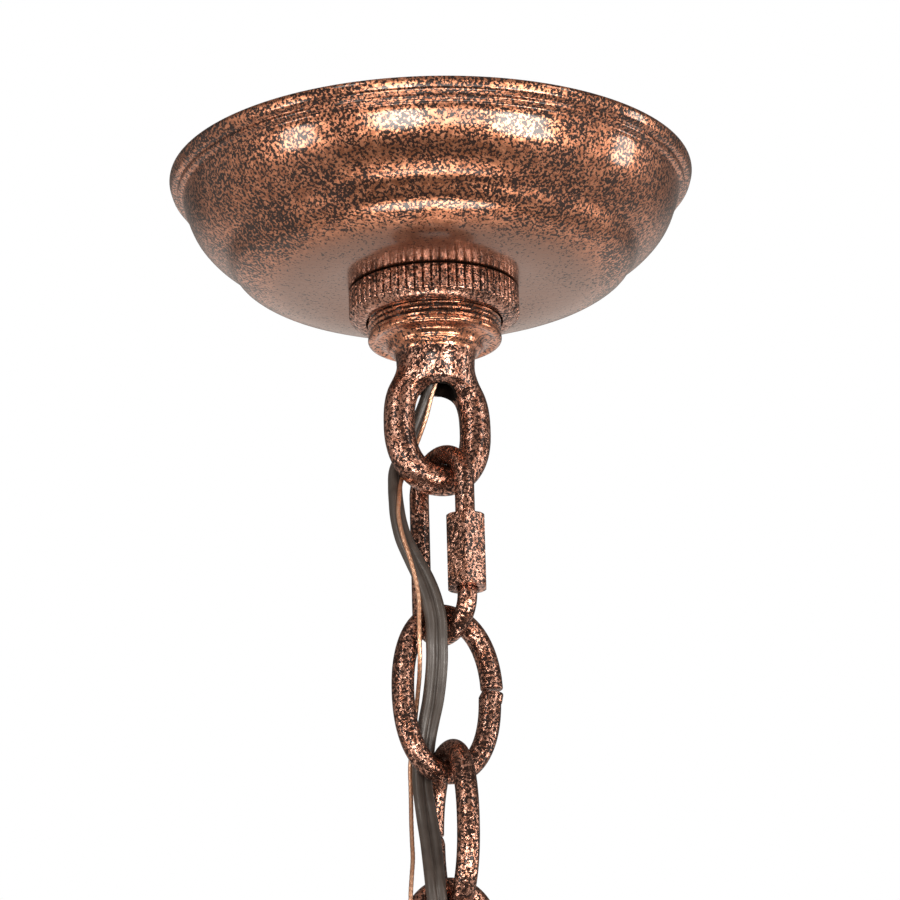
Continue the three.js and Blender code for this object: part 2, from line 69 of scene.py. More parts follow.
TO_RIGHT = Vector((math.cos(AZIMUTH), math.sin(AZIMUTH), 0))
TO_BACK = Vector((-math.sin(AZIMUTH), math.cos(AZIMUTH), 0))


def make_camera():
    data = bpy.data.cameras.new("camera")
    data.lens = LENS_MM
    data.sensor_width = SENSOR_MM
    data.clip_start = 0.05
    data.clip_end = 50
    camera = bpy.data.objects.new("camera", data)
    SCENE.collection.objects.link(camera)
    forward = TO_BACK * math.cos(PITCH) + UP * math.sin(PITCH)
    upward = UP * math.cos(PITCH) - TO_BACK * math.sin(PITCH)
    right = TO_RIGHT * math.cos(ROLL) + upward * math.sin(ROLL)
    over = upward * math.cos(ROLL) - TO_RIGHT * math.sin(ROLL)
    place = TO_RIGHT * CAMERA_ASIDE - TO_BACK * CAMERA_BACK - UP * CAMERA_BELOW
    turn = Matrix((right, over, -forward)).transposed().to_4x4()
    camera.matrix_world = Matrix.Translation(place) @ turn
    SCENE.camera = camera


make_camera()


# ---------- lines, meshes and pieces ----------

def smooth_line(points, spacing):
    """A centripetal Catmull-Rom curve through the points, with a point about every spacing."""
    p = np.array(points, float)
    p = np.vstack([2 * p[0] - p[1], p, 2 * p[-1] - p[-2]])
    line = []
    for a, b, c, d in zip(p, p[1:], p[2:], p[3:]):
        k = np.cumsum([0, *(np.linalg.norm(v - u) ** 0.5 for u, v in ((a, b), (b, c), (c, d)))])
        steps = max(2, math.ceil(np.linalg.norm(c - b) / spacing))
        for t in np.linspace(k[1], k[2], steps, endpoint=False):
            ab = ((k[1] - t) * a + (t - k[0]) * b) / (k[1] - k[0])
            bc = ((k[2] - t) * b + (t - k[1]) * c) / (k[2] - k[1])
            cd = ((k[3] - t) * c + (t - k[2]) * d) / (k[3] - k[2])
            early = ((k[2] - t) * ab + (t - k[0]) * bc) / (k[2] - k[0])
            late = ((k[3] - t) * bc + (t - k[1]) * cd) / (k[3] - k[1])
            line.append(((k[2] - t) * early + (t - k[1]) * late) / (k[2] - k[1]))
    return np.array([*line, p[-2]])


def rounded(corners, steps=5):
    """An outline of (x, y, size) corners, each made a curve that starts and ends about size away from it."""
    points = []
    p = [np.array(c[:2], float) for c in corners]
    for i, (*_, size) in enumerate(corners):
        before, here, after = p[i - 1], p[i], p[(i + 1) % len(p)]
        if size == 0:
            points.append(here)
            continue
        back, ahead = before - here, after - here
        reach = min(size, 0.49 * np.linalg.norm(back), 0.49 * np.linalg.norm(ahead))
        start = here + back / np.linalg.norm(back) * reach
        end = here + ahead / np.linalg.norm(ahead) * reach
        for t in np.linspace(0, 1, steps):
            points.append((1 - t) ** 2 * start + 2 * t * (1 - t) * here + t * t * end)
    return points


def grid_faces(rows, columns, closed_rows=True):
    """The quads of a grid that closes round its columns, and round its rows if asked."""
    faces = []
    for i in range(rows if closed_rows else rows - 1):
        for j in range(columns):
            k, n = (i + 1) % rows, (j + 1) % columns
            faces.append((i * columns + j, i * columns + n, k * columns + n, k * columns + j))
    return faces


def tube(rings):
    """Joins rings that have the same number of points, with a face at each end."""
    count = len(rings[0])
    last = (len(rings) - 1) * count
    ends = [tuple(range(count))[::-1], tuple(range(last, last + count))]
    return np.concatenate(rings), grid_faces(len(rings), count, False) + ends


def lathe(profile, segments, shape=None):
    """
    A closed outline of (radius, height) points turned about Z. shape(radius, height, angles) may give one
    of them another radius, or a radius at each angle.
    """
    angles = np.arange(segments) * TURN / segments
    rings = []
    for radius, height in profile:
        radii = shape(radius, height, angles) if shape else radius
        rings.append(np.stack([radii * np.cos(angles), radii * np.sin(angles),
                               np.full(segments, height)], axis=1))
    return np.concatenate(rings), grid_faces(len(rings), segments)


def heights(name):
    """The lowest and highest z of a CAD node."""
    low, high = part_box(name)
    return low.z, high.z


def lengths_along(line):
    """How far along the line each of its points lies."""
    return np.concatenate([[0], np.cumsum(np.linalg.norm(np.diff(line, axis=0), axis=1))])


def frames_along(line, side):
    """Unit tangents, sides and normals along a line. side is one vector, carried along, or one a point."""
    tangents = np.gradient(line, axis=0)
    tangents /= np.linalg.norm(tangents, axis=1)[:, None]
    given = np.array(side, float)
    sides = []
    for i, t in enumerate(tangents):
        s = given[i] if given.ndim == 2 else (sides[-1] if sides else given)
        s = s - (s @ t) * t
        sides.append(s / np.linalg.norm(s))
    sides = np.array(sides)
    return tangents, sides, np.cross(tangents, sides)


def rotated(x, y, angle):
    """x and y turned by an angle, from x towards y."""
    return x * math.cos(angle) - y * math.sin(angle), x * math.sin(angle) + y * math.cos(angle)


def sweep(line, outline, side, end_round=0.0, twist=0.0):
    """A closed outline carried along a line. end_round rounds its ends, and twist is in turns a metre."""
    line = np.array(line, float)
    tangents, sides, normals = frames_along(line, side)
    along = lengths_along(line)
    outline = np.array(outline, float)
    reach = np.linalg.norm(outline, axis=1).max()
    if end_round:
        keep = (along > end_round) & (along < along[-1] - end_round)
        caps = end_round * (1 - np.cos(np.linspace(0, math.pi / 2, 6)[:-1]))
        places = np.concatenate([caps, [end_round], along[keep],
                                 [along[-1] - end_round], along[-1] - caps[::-1]])
    else:
        places = along
    at = [np.stack([np.interp(places, along, v[:, k]) for k in range(3)], axis=1)
          for v in (line, sides, normals)]
    rings = []
    for place, centre, s, n in zip(places, *at):
        inset = 0.0
        near = min(place, along[-1] - place)
        if near < end_round:
            inset = end_round - math.sqrt(max(0.0, end_round ** 2 - (end_round - near) ** 2))
        x, y = rotated(*outline.T, TURN * twist * place)
        scale = 1 - inset / reach
        rings.append(centre + scale * (x[:, None] * s + y[:, None] * n))
    return tube(rings)


def circle(radius, count):
    a = np.arange(count) * TURN / count
    return np.stack([radius * np.cos(a), radius * np.sin(a)], axis=1)


def zero_surface(field, low, high, step):
    """The surface where field(points) is zero, inside a box, as quads that lie on it."""
    axes = [np.arange(a, b + step, step) for a, b in zip(low, high)]
    grid = np.stack(np.meshgrid(*axes, indexing="ij"), axis=-1)
    shape = grid.shape[:3]
    value = field(grid.reshape(-1, 3)).reshape(shape)
    # each cell that the surface crosses gets one point, the mean of where it crosses the cell's edges
    total = np.zeros((value.size, 3))
    count = np.zeros(value.size)
    quads = []
    for axis in range(3):
        others = [k for k in range(3) if k != axis]
        cross = np.argwhere(np.diff(value < 0, axis=axis))
        first = value[tuple(cross.T)]
        ahead = cross.copy()
        ahead[:, axis] += 1
        second = value[tuple(ahead.T)]
        point = cross.astype(float)
        point[:, axis] += first / (first - second)
        ring = []
        for u, v in ((0, 0), (1, 0), (1, 1), (0, 1)):
            cell = cross.copy()
            cell[:, others[0]] -= u
            cell[:, others[1]] -= v
            index = np.ravel_multi_index(cell.T, shape)
            np.add.at(total, index, point)
            np.add.at(count, index, 1)
            ring.append(index)
        ring = np.stack(ring, axis=1)
        flip = (first < 0) != (axis == 1)
        ring[~flip] = ring[~flip][:, ::-1]
        quads.append(ring)
    used, quads = np.unique(np.concatenate(quads), return_inverse=True)
    points = np.array(low) + step * total[used] / count[used][:, None]
    # then the points are drawn onto the surface
    nudge = step * 0.05
    for _ in range(3):
        now = field(points)
        slope = np.stack([(field(points + nudge * e) - now) / nudge for e in np.eye(3)], axis=1)
        size = np.maximum((slope ** 2).sum(axis=1), 0.1)
        points = points - np.clip(now / size, -step, step)[:, None] * slope
    return points, [tuple(q) for q in quads.reshape(-1, 4)]


def closed_mesh(name, shape):
    """A mesh of a closed shape, with its faces pointing out."""
    vertices, faces = shape
    mesh = bpy.data.meshes.new(name)
    mesh.from_pydata(np.array(vertices).tolist(), [], faces)
    work = bmesh.new()
    work.from_mesh(mesh)
    bmesh.ops.recalc_face_normals(work, faces=work.faces)
    work.to_mesh(mesh)
    work.free()
    return mesh


def add_object(name, data):
    made = bpy.data.objects.new(name, data)
    SCENE.collection.objects.link(made)
    return made


def shade(mesh, sharp):
    """Smooth shading, broken at edges that turn by more than that many degrees."""
    mesh.polygons.foreach_set("use_smooth", [True] * len(mesh.polygons))
    mesh.set_sharp_from_angle(angle=math.radians(sharp))


def piece(name, shape, body, material, stands_for=(), sharp=35, turn=0.0, at=(0, 0, 0)):
    """A closed mesh, turned about Z and then moved, that rides on a body unless that is None."""
    vertices, faces = shape
    c, s = math.cos(turn), math.sin(turn)
    vertices = np.array(vertices) @ np.array([[c, s, 0], [-s, c, 0], [0, 0, 1]]) + np.array(at)
    mesh = closed_mesh(name, (vertices, faces))
    mesh.materials.append(material)
    shade(mesh, sharp)
    made = add_object(name, mesh)
    if stands_for:
        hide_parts(*stands_for)
    if body:
        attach(made, body)
    return made


def cut(made, *shapes):
    """Cuts closed shapes out of a piece."""
    for shape in shapes:
        cutter = add_object("cutter", closed_mesh("cutter", shape))
        modifier = made.modifiers.new("cut", "BOOLEAN")
        modifier.operation = "DIFFERENCE"
        modifier.solver = "EXACT"
        modifier.object = cutter
        bpy.context.view_layer.update()
        result = made.evaluated_get(bpy.context.evaluated_depsgraph_get())
        made.data = bpy.data.meshes.new_from_object(result)
        made.modifiers.clear()
        bpy.data.objects.remove(cutter)
    shade(made.data, 35)


def paint(made, material, where):
    """Gives a second material to the faces whose middles satisfy where(x, y, z)."""
    made.data.materials.append(material)
    for face in made.data.polygons:
        if where(*face.center):
            face.material_index = 1


def pointed(shape, start, direction):
    """A shape drawn up the Z axis from the origin, laid along a direction instead."""
    turn = np.array(Vector(direction).to_track_quat("Z", "Y").to_matrix())
    return shape[0] @ turn.T + np.array(start), shape[1]


def block(low, high):
    """A plain box, for cutting slots."""
    x, y, z = zip(low, high)
    corners = [(x[i], y[j], z[k]) for i in (0, 1) for j in (0, 1) for k in (0, 1)]
    faces = [(0, 1, 3, 2), (4, 6, 7, 5), (0, 4, 5, 1), (2, 3, 7, 6), (0, 2, 6, 4), (1, 5, 7, 3)]
    return corners, faces


# ---------- materials ----------

class Nodes:
    """The node tree of a new material or world, with short calls to add and link nodes."""

    def __init__(self, owner):
        self.owner = owner
        owner.use_nodes = True
        self.tree = owner.node_tree
        self.coordinates = None

    def feed(self, socket, value):
        """Links a socket to another node's output, or sets a number, a vector or a colour on it."""
        if isinstance(value, bpy.types.NodeSocket):
            self.tree.links.new(value, socket)
        elif socket.type == "RGBA":
            socket.default_value = (*value, 1)
        else:
            socket.default_value = value

    def add(self, kind, **values):
        """Adds a node. Each value is a setting of it, or feeds the input of that name."""
        node = self.tree.nodes.new(kind)
        for key, value in values.items():
            if hasattr(node, key):
                setattr(node, key, value)
            else:
                self.feed(node.inputs[key.replace("_", " ")], value)
        return node

    def place(self):
        """The point's own place on its piece, in metres."""
        if not self.coordinates:
            self.coordinates = self.add("ShaderNodeTexCoord")
        return self.coordinates.outputs["Object"]

    def noise(self, size, detail=2.0, roughness=0.5):
        """Noise whose features are about size metres across."""
        node = self.add("ShaderNodeTexNoise", Vector=self.place(), Scale=1 / size, Detail=detail,
                        Roughness=roughness)
        return node.outputs["Fac"]

    def ramp(self, source, start, end, low=0.0, high=1.0):
        """A smooth change from low to high as source goes from start to end."""
        node = self.add("ShaderNodeMapRange", interpolation_type="SMOOTHSTEP", Value=source,
                        From_Min=start, From_Max=end, To_Min=low, To_Max=high)
        return node.outputs["Result"]

    def math(self, operation, *values):
        node = self.add("ShaderNodeMath", operation=operation)
        for socket, value in zip(node.inputs, values):
            self.feed(socket, value)
        return node.outputs["Value"]

    def mix(self, share, a, b):
        """A colour between a and b, each a colour or another node's output."""
        node = self.add("ShaderNodeMix", data_type="RGBA", Factor=share)
        self.feed(node.inputs[6], a)
        self.feed(node.inputs[7], b)
        return node.outputs[2]

    def bump(self, height, distance, strength=1.0):
        node = self.add("ShaderNodeBump", Height=height, Distance=distance, Strength=strength)
        self.set(Normal=node.outputs["Normal"])

    def set(self, **values):
        """Feeds the inputs of the material's shader."""
        shader = self.tree.nodes["Principled BSDF"]
        for key, value in values.items():
            self.feed(shader.inputs[key.replace("_", " ")], value)


def new_material(name):
    return Nodes(bpy.data.materials.new(name))


BLACKENED = (0.016, 0.0055, 0.003)
# painted sheen: the even brown of the canopy's underside, in place of the coat's reflection
PAINTED_SHEEN_BROWN = (0.27, 0.13, 0.08)
COPPER = ((0.84, 0.36, 0.20), (0.48, 0.18, 0.09))
PINK_COPPER = ((0.84, 0.46, 0.34), (0.36, 0.15, 0.09))
CLOUD = 0.010            # how far apart the blacker and the barer stretches of plate lie
CLOUDING = 0.20          # how strongly they differ
# painted shade: how much black is added in the bottoms of grooves
GROOVE_SHADE_BLACK = 0.16
# painted sheen: how far the specks thin out on the canopy's underside
PAINTED_SHEEN_OVER_SPECKS = 0.12
SPECK_EDGE = 0.016


def antique_copper(name, speck, cover, plate, coat, gloss, lumps, painted_shade_groove=None, painted_sheen=None):
    """
    Copper plate peppered with near-black specks under a clear coat. speck is their size in metres, cover
    the share that is black, plate its two colours, gloss the bare copper's roughness and lumps how far the
    surface rises and falls. Painted shade: extra black is laid in the bottoms of grooves, given as the
    radius of their floor, the radius where it ends and the height above which it lies. From the first to the
    second of the painted sheen's two heights the plate turns evenly brown and loses its specks, a painted
    sheen.
    """
    n = new_material(name)
    x, y, z = n.add("ShaderNodeSeparateXYZ", Vector=n.place()).outputs
    drift = n.math("MULTIPLY", n.math("SUBTRACT", n.noise(CLOUD, 2.0, 0.5), 0.5), CLOUDING)
    level = n.math("ADD", n.noise(speck, 3.0, 0.6), drift)
    metal = n.mix(n.ramp(n.noise(speck * 2.5, 3.0, 0.6), 0.35, 0.66), *plate)
    # painted shade: more black towards the floor of a groove, where shade falls
    if painted_shade_groove:
        inner, outer, height = painted_shade_groove
        radius = n.math("SQRT", n.math("ADD", n.math("MULTIPLY", x, x), n.math("MULTIPLY", y, y)))
        painted_shade_here = n.math("MULTIPLY", n.ramp(z, height - 0.0002, height + 0.0002),
                            n.ramp(radius, inner, outer, GROOVE_SHADE_BLACK, 0.0))
        level = n.math("SUBTRACT", level, painted_shade_here)
    # painted sheen: below the given heights the plate turns evenly brown and loses its specks
    if painted_sheen:
        start, end = painted_sheen
        level = n.math("ADD", level, n.ramp(z, end, start, PAINTED_SHEEN_OVER_SPECKS, 0.0))
        metal = n.mix(n.ramp(z, end, start, 1.0, 0.0), metal, PAINTED_SHEEN_BROWN)
    # the noise level that about this share of the surface lies under
    edge = 0.405 + 0.235 * cover
    black = n.ramp(level, edge - SPECK_EDGE, edge + SPECK_EDGE, 1.0, 0.0)
    n.set(Base_Color=n.mix(black, metal, BLACKENED))
    n.set(Metallic=n.ramp(black, 0.2, 0.9, 1.0, 0.1), Roughness=n.ramp(black, 0.0, 1.0, gloss, 0.5))
    n.set(Specular_IOR_Level=0.15, Coat_Weight=coat, Coat_Roughness=0.13)
    n.bump(n.math("ADD", n.math("MULTIPLY", level, 0.5), n.noise(speck * 1.7, 2.0, 0.5)), lumps)
    return n.owner


def dull_metal(name, colour, worn, roughness, grain):
    """Plated or turned metal, a little clouded and scratched. grain is the clouds' size in metres."""
    n = new_material(name)
    n.set(Base_Color=n.mix(n.ramp(n.noise(grain, 4.0, 0.6), 0.3, 0.7), colour, worn), Metallic=1.0)
    n.set(Roughness=n.ramp(n.noise(grain / 2, 3.0, 0.6), 0.25, 0.75, roughness - 0.07, roughness + 0.1))
    n.bump(n.noise(0.0003), 0.00002, 0.3)
    return n.owner


def jacket(name, colour, light):
    """Glossy, slightly cloudy PVC."""
    n = new_material(name)
    n.set(Base_Color=n.mix(n.ramp(n.noise(0.004, 3.0), 0.3, 0.7), colour, light))
    n.set(Roughness=n.ramp(n.noise(0.0015), 0.3, 0.7, 0.38, 0.48))
    n.set(Coat_Weight=0.35, Coat_Roughness=0.30)
    n.bump(n.noise(0.0012, 3.0), 0.00004, 0.25)
    return n.owner


def clear_jacket_copper(name):
    """Stranded copper seen through a thin clear jacket."""
    n = new_material(name)
    n.set(Base_Color=n.mix(n.ramp(n.noise(0.0012, 3.0), 0.3, 0.7), (0.66, 0.33, 0.19), (0.80, 0.47, 0.30)))
    n.set(Metallic=0.85, Roughness=0.33, Coat_Weight=1.0, Coat_Roughness=0.08)
    n.bump(n.noise(0.0006), 0.00003, 0.3)
    return n.owner


# its underside gets the painted sheen
SPUN_COPPER = antique_copper("spun_copper", speck=0.00070, cover=0.48, plate=COPPER, coat=0.9, gloss=0.32,
                             lumps=0.00008, painted_sheen=(-0.0262, -0.0296))
CAST_COPPER = antique_copper("cast_copper", speck=0.00066, cover=0.42, plate=PINK_COPPER, coat=0.25,
                             gloss=0.26, lumps=0.00022)
WIRE_COPPER = antique_copper("wire_copper", speck=0.00066, cover=0.44, plate=PINK_COPPER, coat=0.22,
                             gloss=0.22, lumps=0.00022)
# painted shade in the bottoms of the ring's flutes
KNURL_COPPER = antique_copper("knurl_copper", speck=0.0006, cover=0.34, plate=PINK_COPPER, coat=0.4,
                              gloss=0.26, lumps=0.00012, painted_shade_groove=(0.0200, 0.0206, -0.0364))
# painted shade in the bottoms of the thread's grooves
THREAD_COPPER = antique_copper("thread_copper", speck=0.0007, cover=0.24, plate=COPPER, coat=0.8,
                               gloss=0.24, lumps=0.00008, painted_shade_groove=(0.0154, 0.0162, -0.0419))
RAW_STEEL = dull_metal("zinc_plate", (0.55, 0.56, 0.57), (0.42, 0.43, 0.44), 0.38, 0.006)
BRASS = dull_metal("brass", (0.70, 0.49, 0.22), (0.56, 0.37, 0.16), 0.3, 0.004)
GREEN = dull_metal("green_plate", (0.05, 0.30, 0.12), (0.03, 0.20, 0.08), 0.35, 0.002)
INSIDE_PAINT = dull_metal("inside_paint", (0.23, 0.11, 0.07), (0.14, 0.07, 0.05), 0.5, 0.005)
# painted shade: near-black for the inside of the casting's wire hole
BORE_PAINTED_SHADE = dull_metal("bore_painted_shade", (0.012, 0.009, 0.008), (0.02, 0.014, 0.011), 0.7, 0.002)
CORD_GREY = jacket("cord_grey", (0.046, 0.036, 0.030), (0.066, 0.053, 0.045))
ORANGE = jacket("connector_orange", (0.75, 0.22, 0.03), (0.68, 0.18, 0.02))
GROUND_COPPER = clear_jacket_copper("ground_copper")


# ---------- lamp cord and ground wire ----------

CORD_ROUTE = [
    (-0.0005, 0.0009, -0.009), (-0.0005, 0.0009, -0.022), (-0.0005, 0.0009, -0.038),
    (-0.0006, 0.0011, -0.0475), (-0.0009, 0.0021, -0.053), (-0.0015, 0.0042, -0.0572),
    (-0.0027, 0.0058, -0.0615), (-0.0045, 0.0068, -0.0665), (-0.0068, 0.0072, -0.0715),
    (-0.0084, 0.0067, -0.0756), (-0.0091, 0.0054, -0.0798), (-0.0097, 0.0034, -0.084),
    (-0.0099, 0.0017, -0.0888), (-0.0093, -0.0001, -0.0944), (-0.0077, -0.002, -0.0998),
    (-0.0059, -0.0037, -0.1052), (-0.0046, -0.0049, -0.1104), (-0.0038, -0.0054, -0.1156),
    (-0.0036, -0.0051, -0.1203), (-0.0032, -0.0039, -0.125), (-0.003, -0.0022, -0.1294),
    (-0.003, -0.0002, -0.134), (-0.0033, 0.0019, -0.1383), (-0.0036, 0.0036, -0.1426),
    (-0.0038, 0.0046, -0.1467), (-0.0042, 0.0049, -0.1506), (-0.0044, 0.0042, -0.1546),
    (-0.0044, 0.0031, -0.1588), (-0.0043, 0.0019, -0.1634), (-0.0044, 0.0001, -0.1684),
    (-0.0048, -0.002, -0.1738), (-0.0053, -0.0041, -0.1784), (-0.0054, -0.0051, -0.1824),
    (-0.005, -0.0051, -0.1862), (-0.0042, -0.004, -0.191), (-0.0035, -0.0024, -0.196),
    (-0.0034, -0.0002, -0.2012), (-0.0046, 0.0023, -0.2056), (-0.006, 0.0042, -0.2102),
    (-0.0065, 0.0048, -0.215), (-0.0062, 0.0046, -0.2194), (-0.005, 0.0036, -0.2238),
    (-0.0031, 0.0023, -0.2282), (-0.001, 0.0012, -0.2328), (0.0006, 0.0006, -0.2378),
    (0.0009, 0.0004, -0.244),
]
GROUND_ROUTE = [
    (0.0176, -0.003, -0.01215), (0.014, -0.0028, -0.01215), (0.0116, -0.0026, -0.012),
    (0.0098, -0.0024, -0.0088), (0.006, -0.0022, -0.0066), (0.0024, -0.002, -0.0072),
    (0.0009, -0.0019, -0.0098), (0.0006, -0.0019, -0.014), (0.0006, -0.0019, -0.024),
    (0.0006, -0.0019, -0.038), (0.0006, -0.0016, -0.047), (0.0001, -0.0006, -0.0525),
    (-0.0009, 0.0012, -0.057), (-0.0015, 0.0028, -0.061), (-0.0026, 0.0039, -0.065),
    (-0.0044, 0.0046, -0.07), (-0.0063, 0.0049, -0.0744), (-0.0084, 0.0034, -0.0788),
    (-0.0099, 0.001, -0.0837), (-0.0108, -0.0006, -0.0886), (-0.0105, -0.0023, -0.0942),
    (-0.0094, -0.0037, -0.1), (-0.0083, -0.0043, -0.1055), (-0.0077, -0.0046, -0.1105),
    (-0.0077, -0.0045, -0.1154), (-0.0076, -0.0041, -0.1202), (-0.0071, -0.0028, -0.1246),
    (-0.0065, -0.0007, -0.1284), (-0.0061, 0.0016, -0.132), (-0.0059, 0.0036, -0.136),
    (-0.006, 0.0049, -0.1402), (-0.0063, 0.0059, -0.1446), (-0.0066, 0.0064, -0.149),
    (-0.0068, 0.0059, -0.1534), (-0.0072, 0.0049, -0.158), (-0.0078, 0.0035, -0.163),
    (-0.0085, 0.0016, -0.1682), (-0.0094, -0.0009, -0.1736), (-0.0105, -0.0027, -0.1786),
    (-0.0112, -0.0036, -0.1832), (-0.0113, -0.004, -0.1876), (-0.0102, -0.0043, -0.1922),
    (-0.0076, -0.0036, -0.1968), (-0.0066, 0.0001, -0.2014), (-0.0072, 0.0034, -0.2062),
    (-0.0087, 0.0058, -0.211), (-0.0094, 0.0071, -0.2158), (-0.0087, 0.0064, -0.2202),
    (-0.0072, 0.0049, -0.2246), (-0.0053, 0.003, -0.229), (-0.0032, 0.0011, -0.2334),
    (-0.0021, 0.0002, -0.2382), (-0.0019, 0, -0.244),
]
LINE_STEP = 0.0006
CORD_WIDTH = 0.0052
CORD_THICKNESS = 0.0026
GROUND_DIAMETER = 0.0011
GROUND_STRANDS = 7
GROUND_LAY = 90          # turns of the strands in a metre

# heights down the chain, and the way the cord's width points there, in degrees from +X towards +Y
CORD_TURNS = [
    (-0.009, 90), (-0.045, 90), (-0.056, 74), (-0.066, 66), (-0.074, 52), (-0.082, 50), (-0.092, 30),
    (-0.100, 6), (-0.108, -14), (-0.120, -20), (-0.130, -24), (-0.142, 8), (-0.152, 15),
    (-0.165, -8), (-0.176, 4), (-0.186, 9), (-0.200, 5), (-0.212, 40), (-0.225, 70), (-0.244, 80),
]

# which bodies each stretch joins, and the heights between which it bends from one to the other
STRETCHES = [
    ("ceiling_fitting", "quick_link", -0.062, -0.094),
    ("quick_link", "chain_link_1", -0.101, -0.130),
    ("chain_link_1", "chain_link_2", -0.136, -0.1625),
    ("chain_link_2", "chain_link_3", -0.170, -0.196),
    ("chain_link_3", "lantern_loop", -0.203, -0.232),
]


def cord_outline():
    """Two round conductors side by side, joined by a thin web, one of them faintly ribbed."""
    radius = CORD_THICKNESS / 2
    half = CORD_WIDTH / 2 - radius
    points = []
    for angle in np.radians(np.linspace(-150, 150, 33)):
        points.append((half + radius * math.cos(angle), radius * math.sin(angle)))
    for angle in np.radians(np.linspace(30, 330, 49)):
        rib = 1 - 0.010 * (0.5 - 0.5 * math.cos(10 * angle)) ** 2
        points.append((-half + rib * radius * math.cos(angle), rib * radius * math.sin(angle)))
    return points


def strand_outline():
    """The ground wire's bundle of strands, seen end on."""
    a = np.arange(GROUND_STRANDS * 6) * TURN / (GROUND_STRANDS * 6)
    r = GROUND_DIAMETER / 2 * (1 - 0.10 * (1 - np.abs(np.cos(GROUND_STRANDS * a / 2))))
    return np.stack([r * np.cos(a), r * np.sin(a)], axis=1)


def width_ways(line):
    """The way that the lamp cord's width points, at each point of its line."""
    levels, degrees = np.array(CORD_TURNS).T
    angle = np.radians(np.interp(-line[:, 2], -levels, degrees))
    for _ in range(12):
        angle[1:-1] = (angle[:-2] + 2 * angle[1:-1] + angle[2:]) / 4
    return np.stack([np.cos(angle), np.sin(angle), np.zeros(len(line))], axis=1)


def cuts_of(line):
    """The points of a line where one stretch ends and the next starts, its two ends among them."""
    ends = [0]
    for n in range(2, len(STRETCHES) + 1):
        above, below = heights(f"lamp_cord_{n - 1}")[0], heights(f"lamp_cord_{n}")[1]
        under = np.nonzero(line[:, 2] < (above + below) / 2)[0]
        ends.append(int(under[0]))
    return [*ends, len(line) - 1]


def lay_cord(name, line, sides, outline, material, twist):
    """A cord laid in one stretch per joint, each a separate piece that rides on no body."""
    ends = cuts_of(line)
    along = lengths_along(line)
    for n, (above, below, start, end) in enumerate(STRETCHES):
        first, last = ends[n], ends[n + 1]
        part = slice(first, last + 1)
        turned = np.stack(rotated(*np.array(outline).T, TURN * twist * along[first]), axis=1)
        shape = sweep(line[part], turned, sides[part], twist=twist)
        made = piece(f"{name}_stretch_{n + 1}", shape, None, material, [f"{name}_{n + 1}"], sharp=50)
        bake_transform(made)
    print(f"{name} is {along[-1]:.4f} m long")


CORD_LINE = smooth_line(CORD_ROUTE, LINE_STEP)
GROUND_LINE = smooth_line(GROUND_ROUTE, LINE_STEP)
lay_cord("lamp_cord", CORD_LINE, width_ways(CORD_LINE), cord_outline(),
         CORD_GREY, 0)
lay_cord("ground_wire", GROUND_LINE, frames_along(GROUND_LINE, (0, 1, 0))[1], strand_outline(),
         GROUND_COPPER, GROUND_LAY)


# ---------- canopy ----------

CANOPY_WALL = 0.0009
CANOPY_SEGMENTS = 360
RIM_BEAD = [
    (0.0627, 0, 0.0004), (0.0634, 0, 0.0004), (0.0636, -0.0009, 0.0004), (0.0630, -0.0030, 0.0006),
    (0.0616, -0.0036, 0.0003), (0.0618, -0.0047, 0.0007), (0.0603, -0.0053, 0.0006), (0.0602, -0.0062, 0),
]
CANOPY_BOWL = [
    (0.0602, -0.0062), (0.0600, -0.0070), (0.0594, -0.0087), (0.0586, -0.0109), (0.0575, -0.0131),
    (0.0559, -0.0153), (0.0539, -0.0174), (0.0519, -0.0190), (0.0502, -0.0203), (0.0494, -0.0213),
    (0.0486, -0.0226), (0.0475, -0.0241), (0.0452, -0.0258), (0.0422, -0.0272), (0.0388, -0.0285),
    (0.0343, -0.0295), (0.0287, -0.0301), (0.0225, -0.0301), (0.0169, -0.0300),
]
INSIDE_OF_RIM = [(0.0618, -0.0002), (0.0610, -0.0020), (0.0600, -0.0045)]
INSIDE_TOP = -0.0008


def canopy_lines():
    """The canopy's outer and inner lines, both from the rim to the middle."""
    outer = np.concatenate([rounded(RIM_BEAD, 7)[:-1], smooth_line(CANOPY_BOWL, 0.0008)])
    inward = smooth_line([*INSIDE_OF_RIM, *CANOPY_BOWL[1:]], 0.0012)
    slope = np.gradient(inward, axis=0)
    slope /= np.linalg.norm(slope, axis=1)[:, None]
    inner = inward + CANOPY_WALL * np.stack([slope[:, 1], -slope[:, 0]], axis=1)
    inner = inner[inner[:, 1] < INSIDE_TOP]
    inner[-1] = (outer[-1][0], outer[-1][1] + CANOPY_WALL)
    return outer, inner


def make_canopy():
    """A spun shell, painted on the inside."""
    outer, inner = canopy_lines()
    made = piece("canopy_shell", lathe([*outer, *inner[::-1]], CANOPY_SEGMENTS), "canopy",
                 SPUN_COPPER, ["canopy"], sharp=50)
    made.data.materials.append(INSIDE_PAINT)
    for face in made.data.polygons[(len(outer) - 1) * CANOPY_SEGMENTS:]:
        face.material_index = 1


make_canopy()


# ---------- collar ring ----------

RING_BOTTOM, RING_TOP = heights("collar_ring")
RING_RADIUS = 0.0206
RING_BORE = 0.0165
FLUTES = 62
FLUTE_DEPTH = 0.00048


def fluted(radius, height, angles):
    """Narrow grooves round the ring's outer face, and nothing on the rest of it."""
    on_face = radius > RING_RADIUS - 0.0006 and RING_BOTTOM + 0.0014 < height < RING_TOP - 0.0003
    if not on_face:
        return radius
    land = np.clip(1.9 * np.abs(np.cos(FLUTES * angles / 2)) - 0.1, 0, 1) ** 0.8
    return radius - FLUTE_DEPTH * (1 - land)


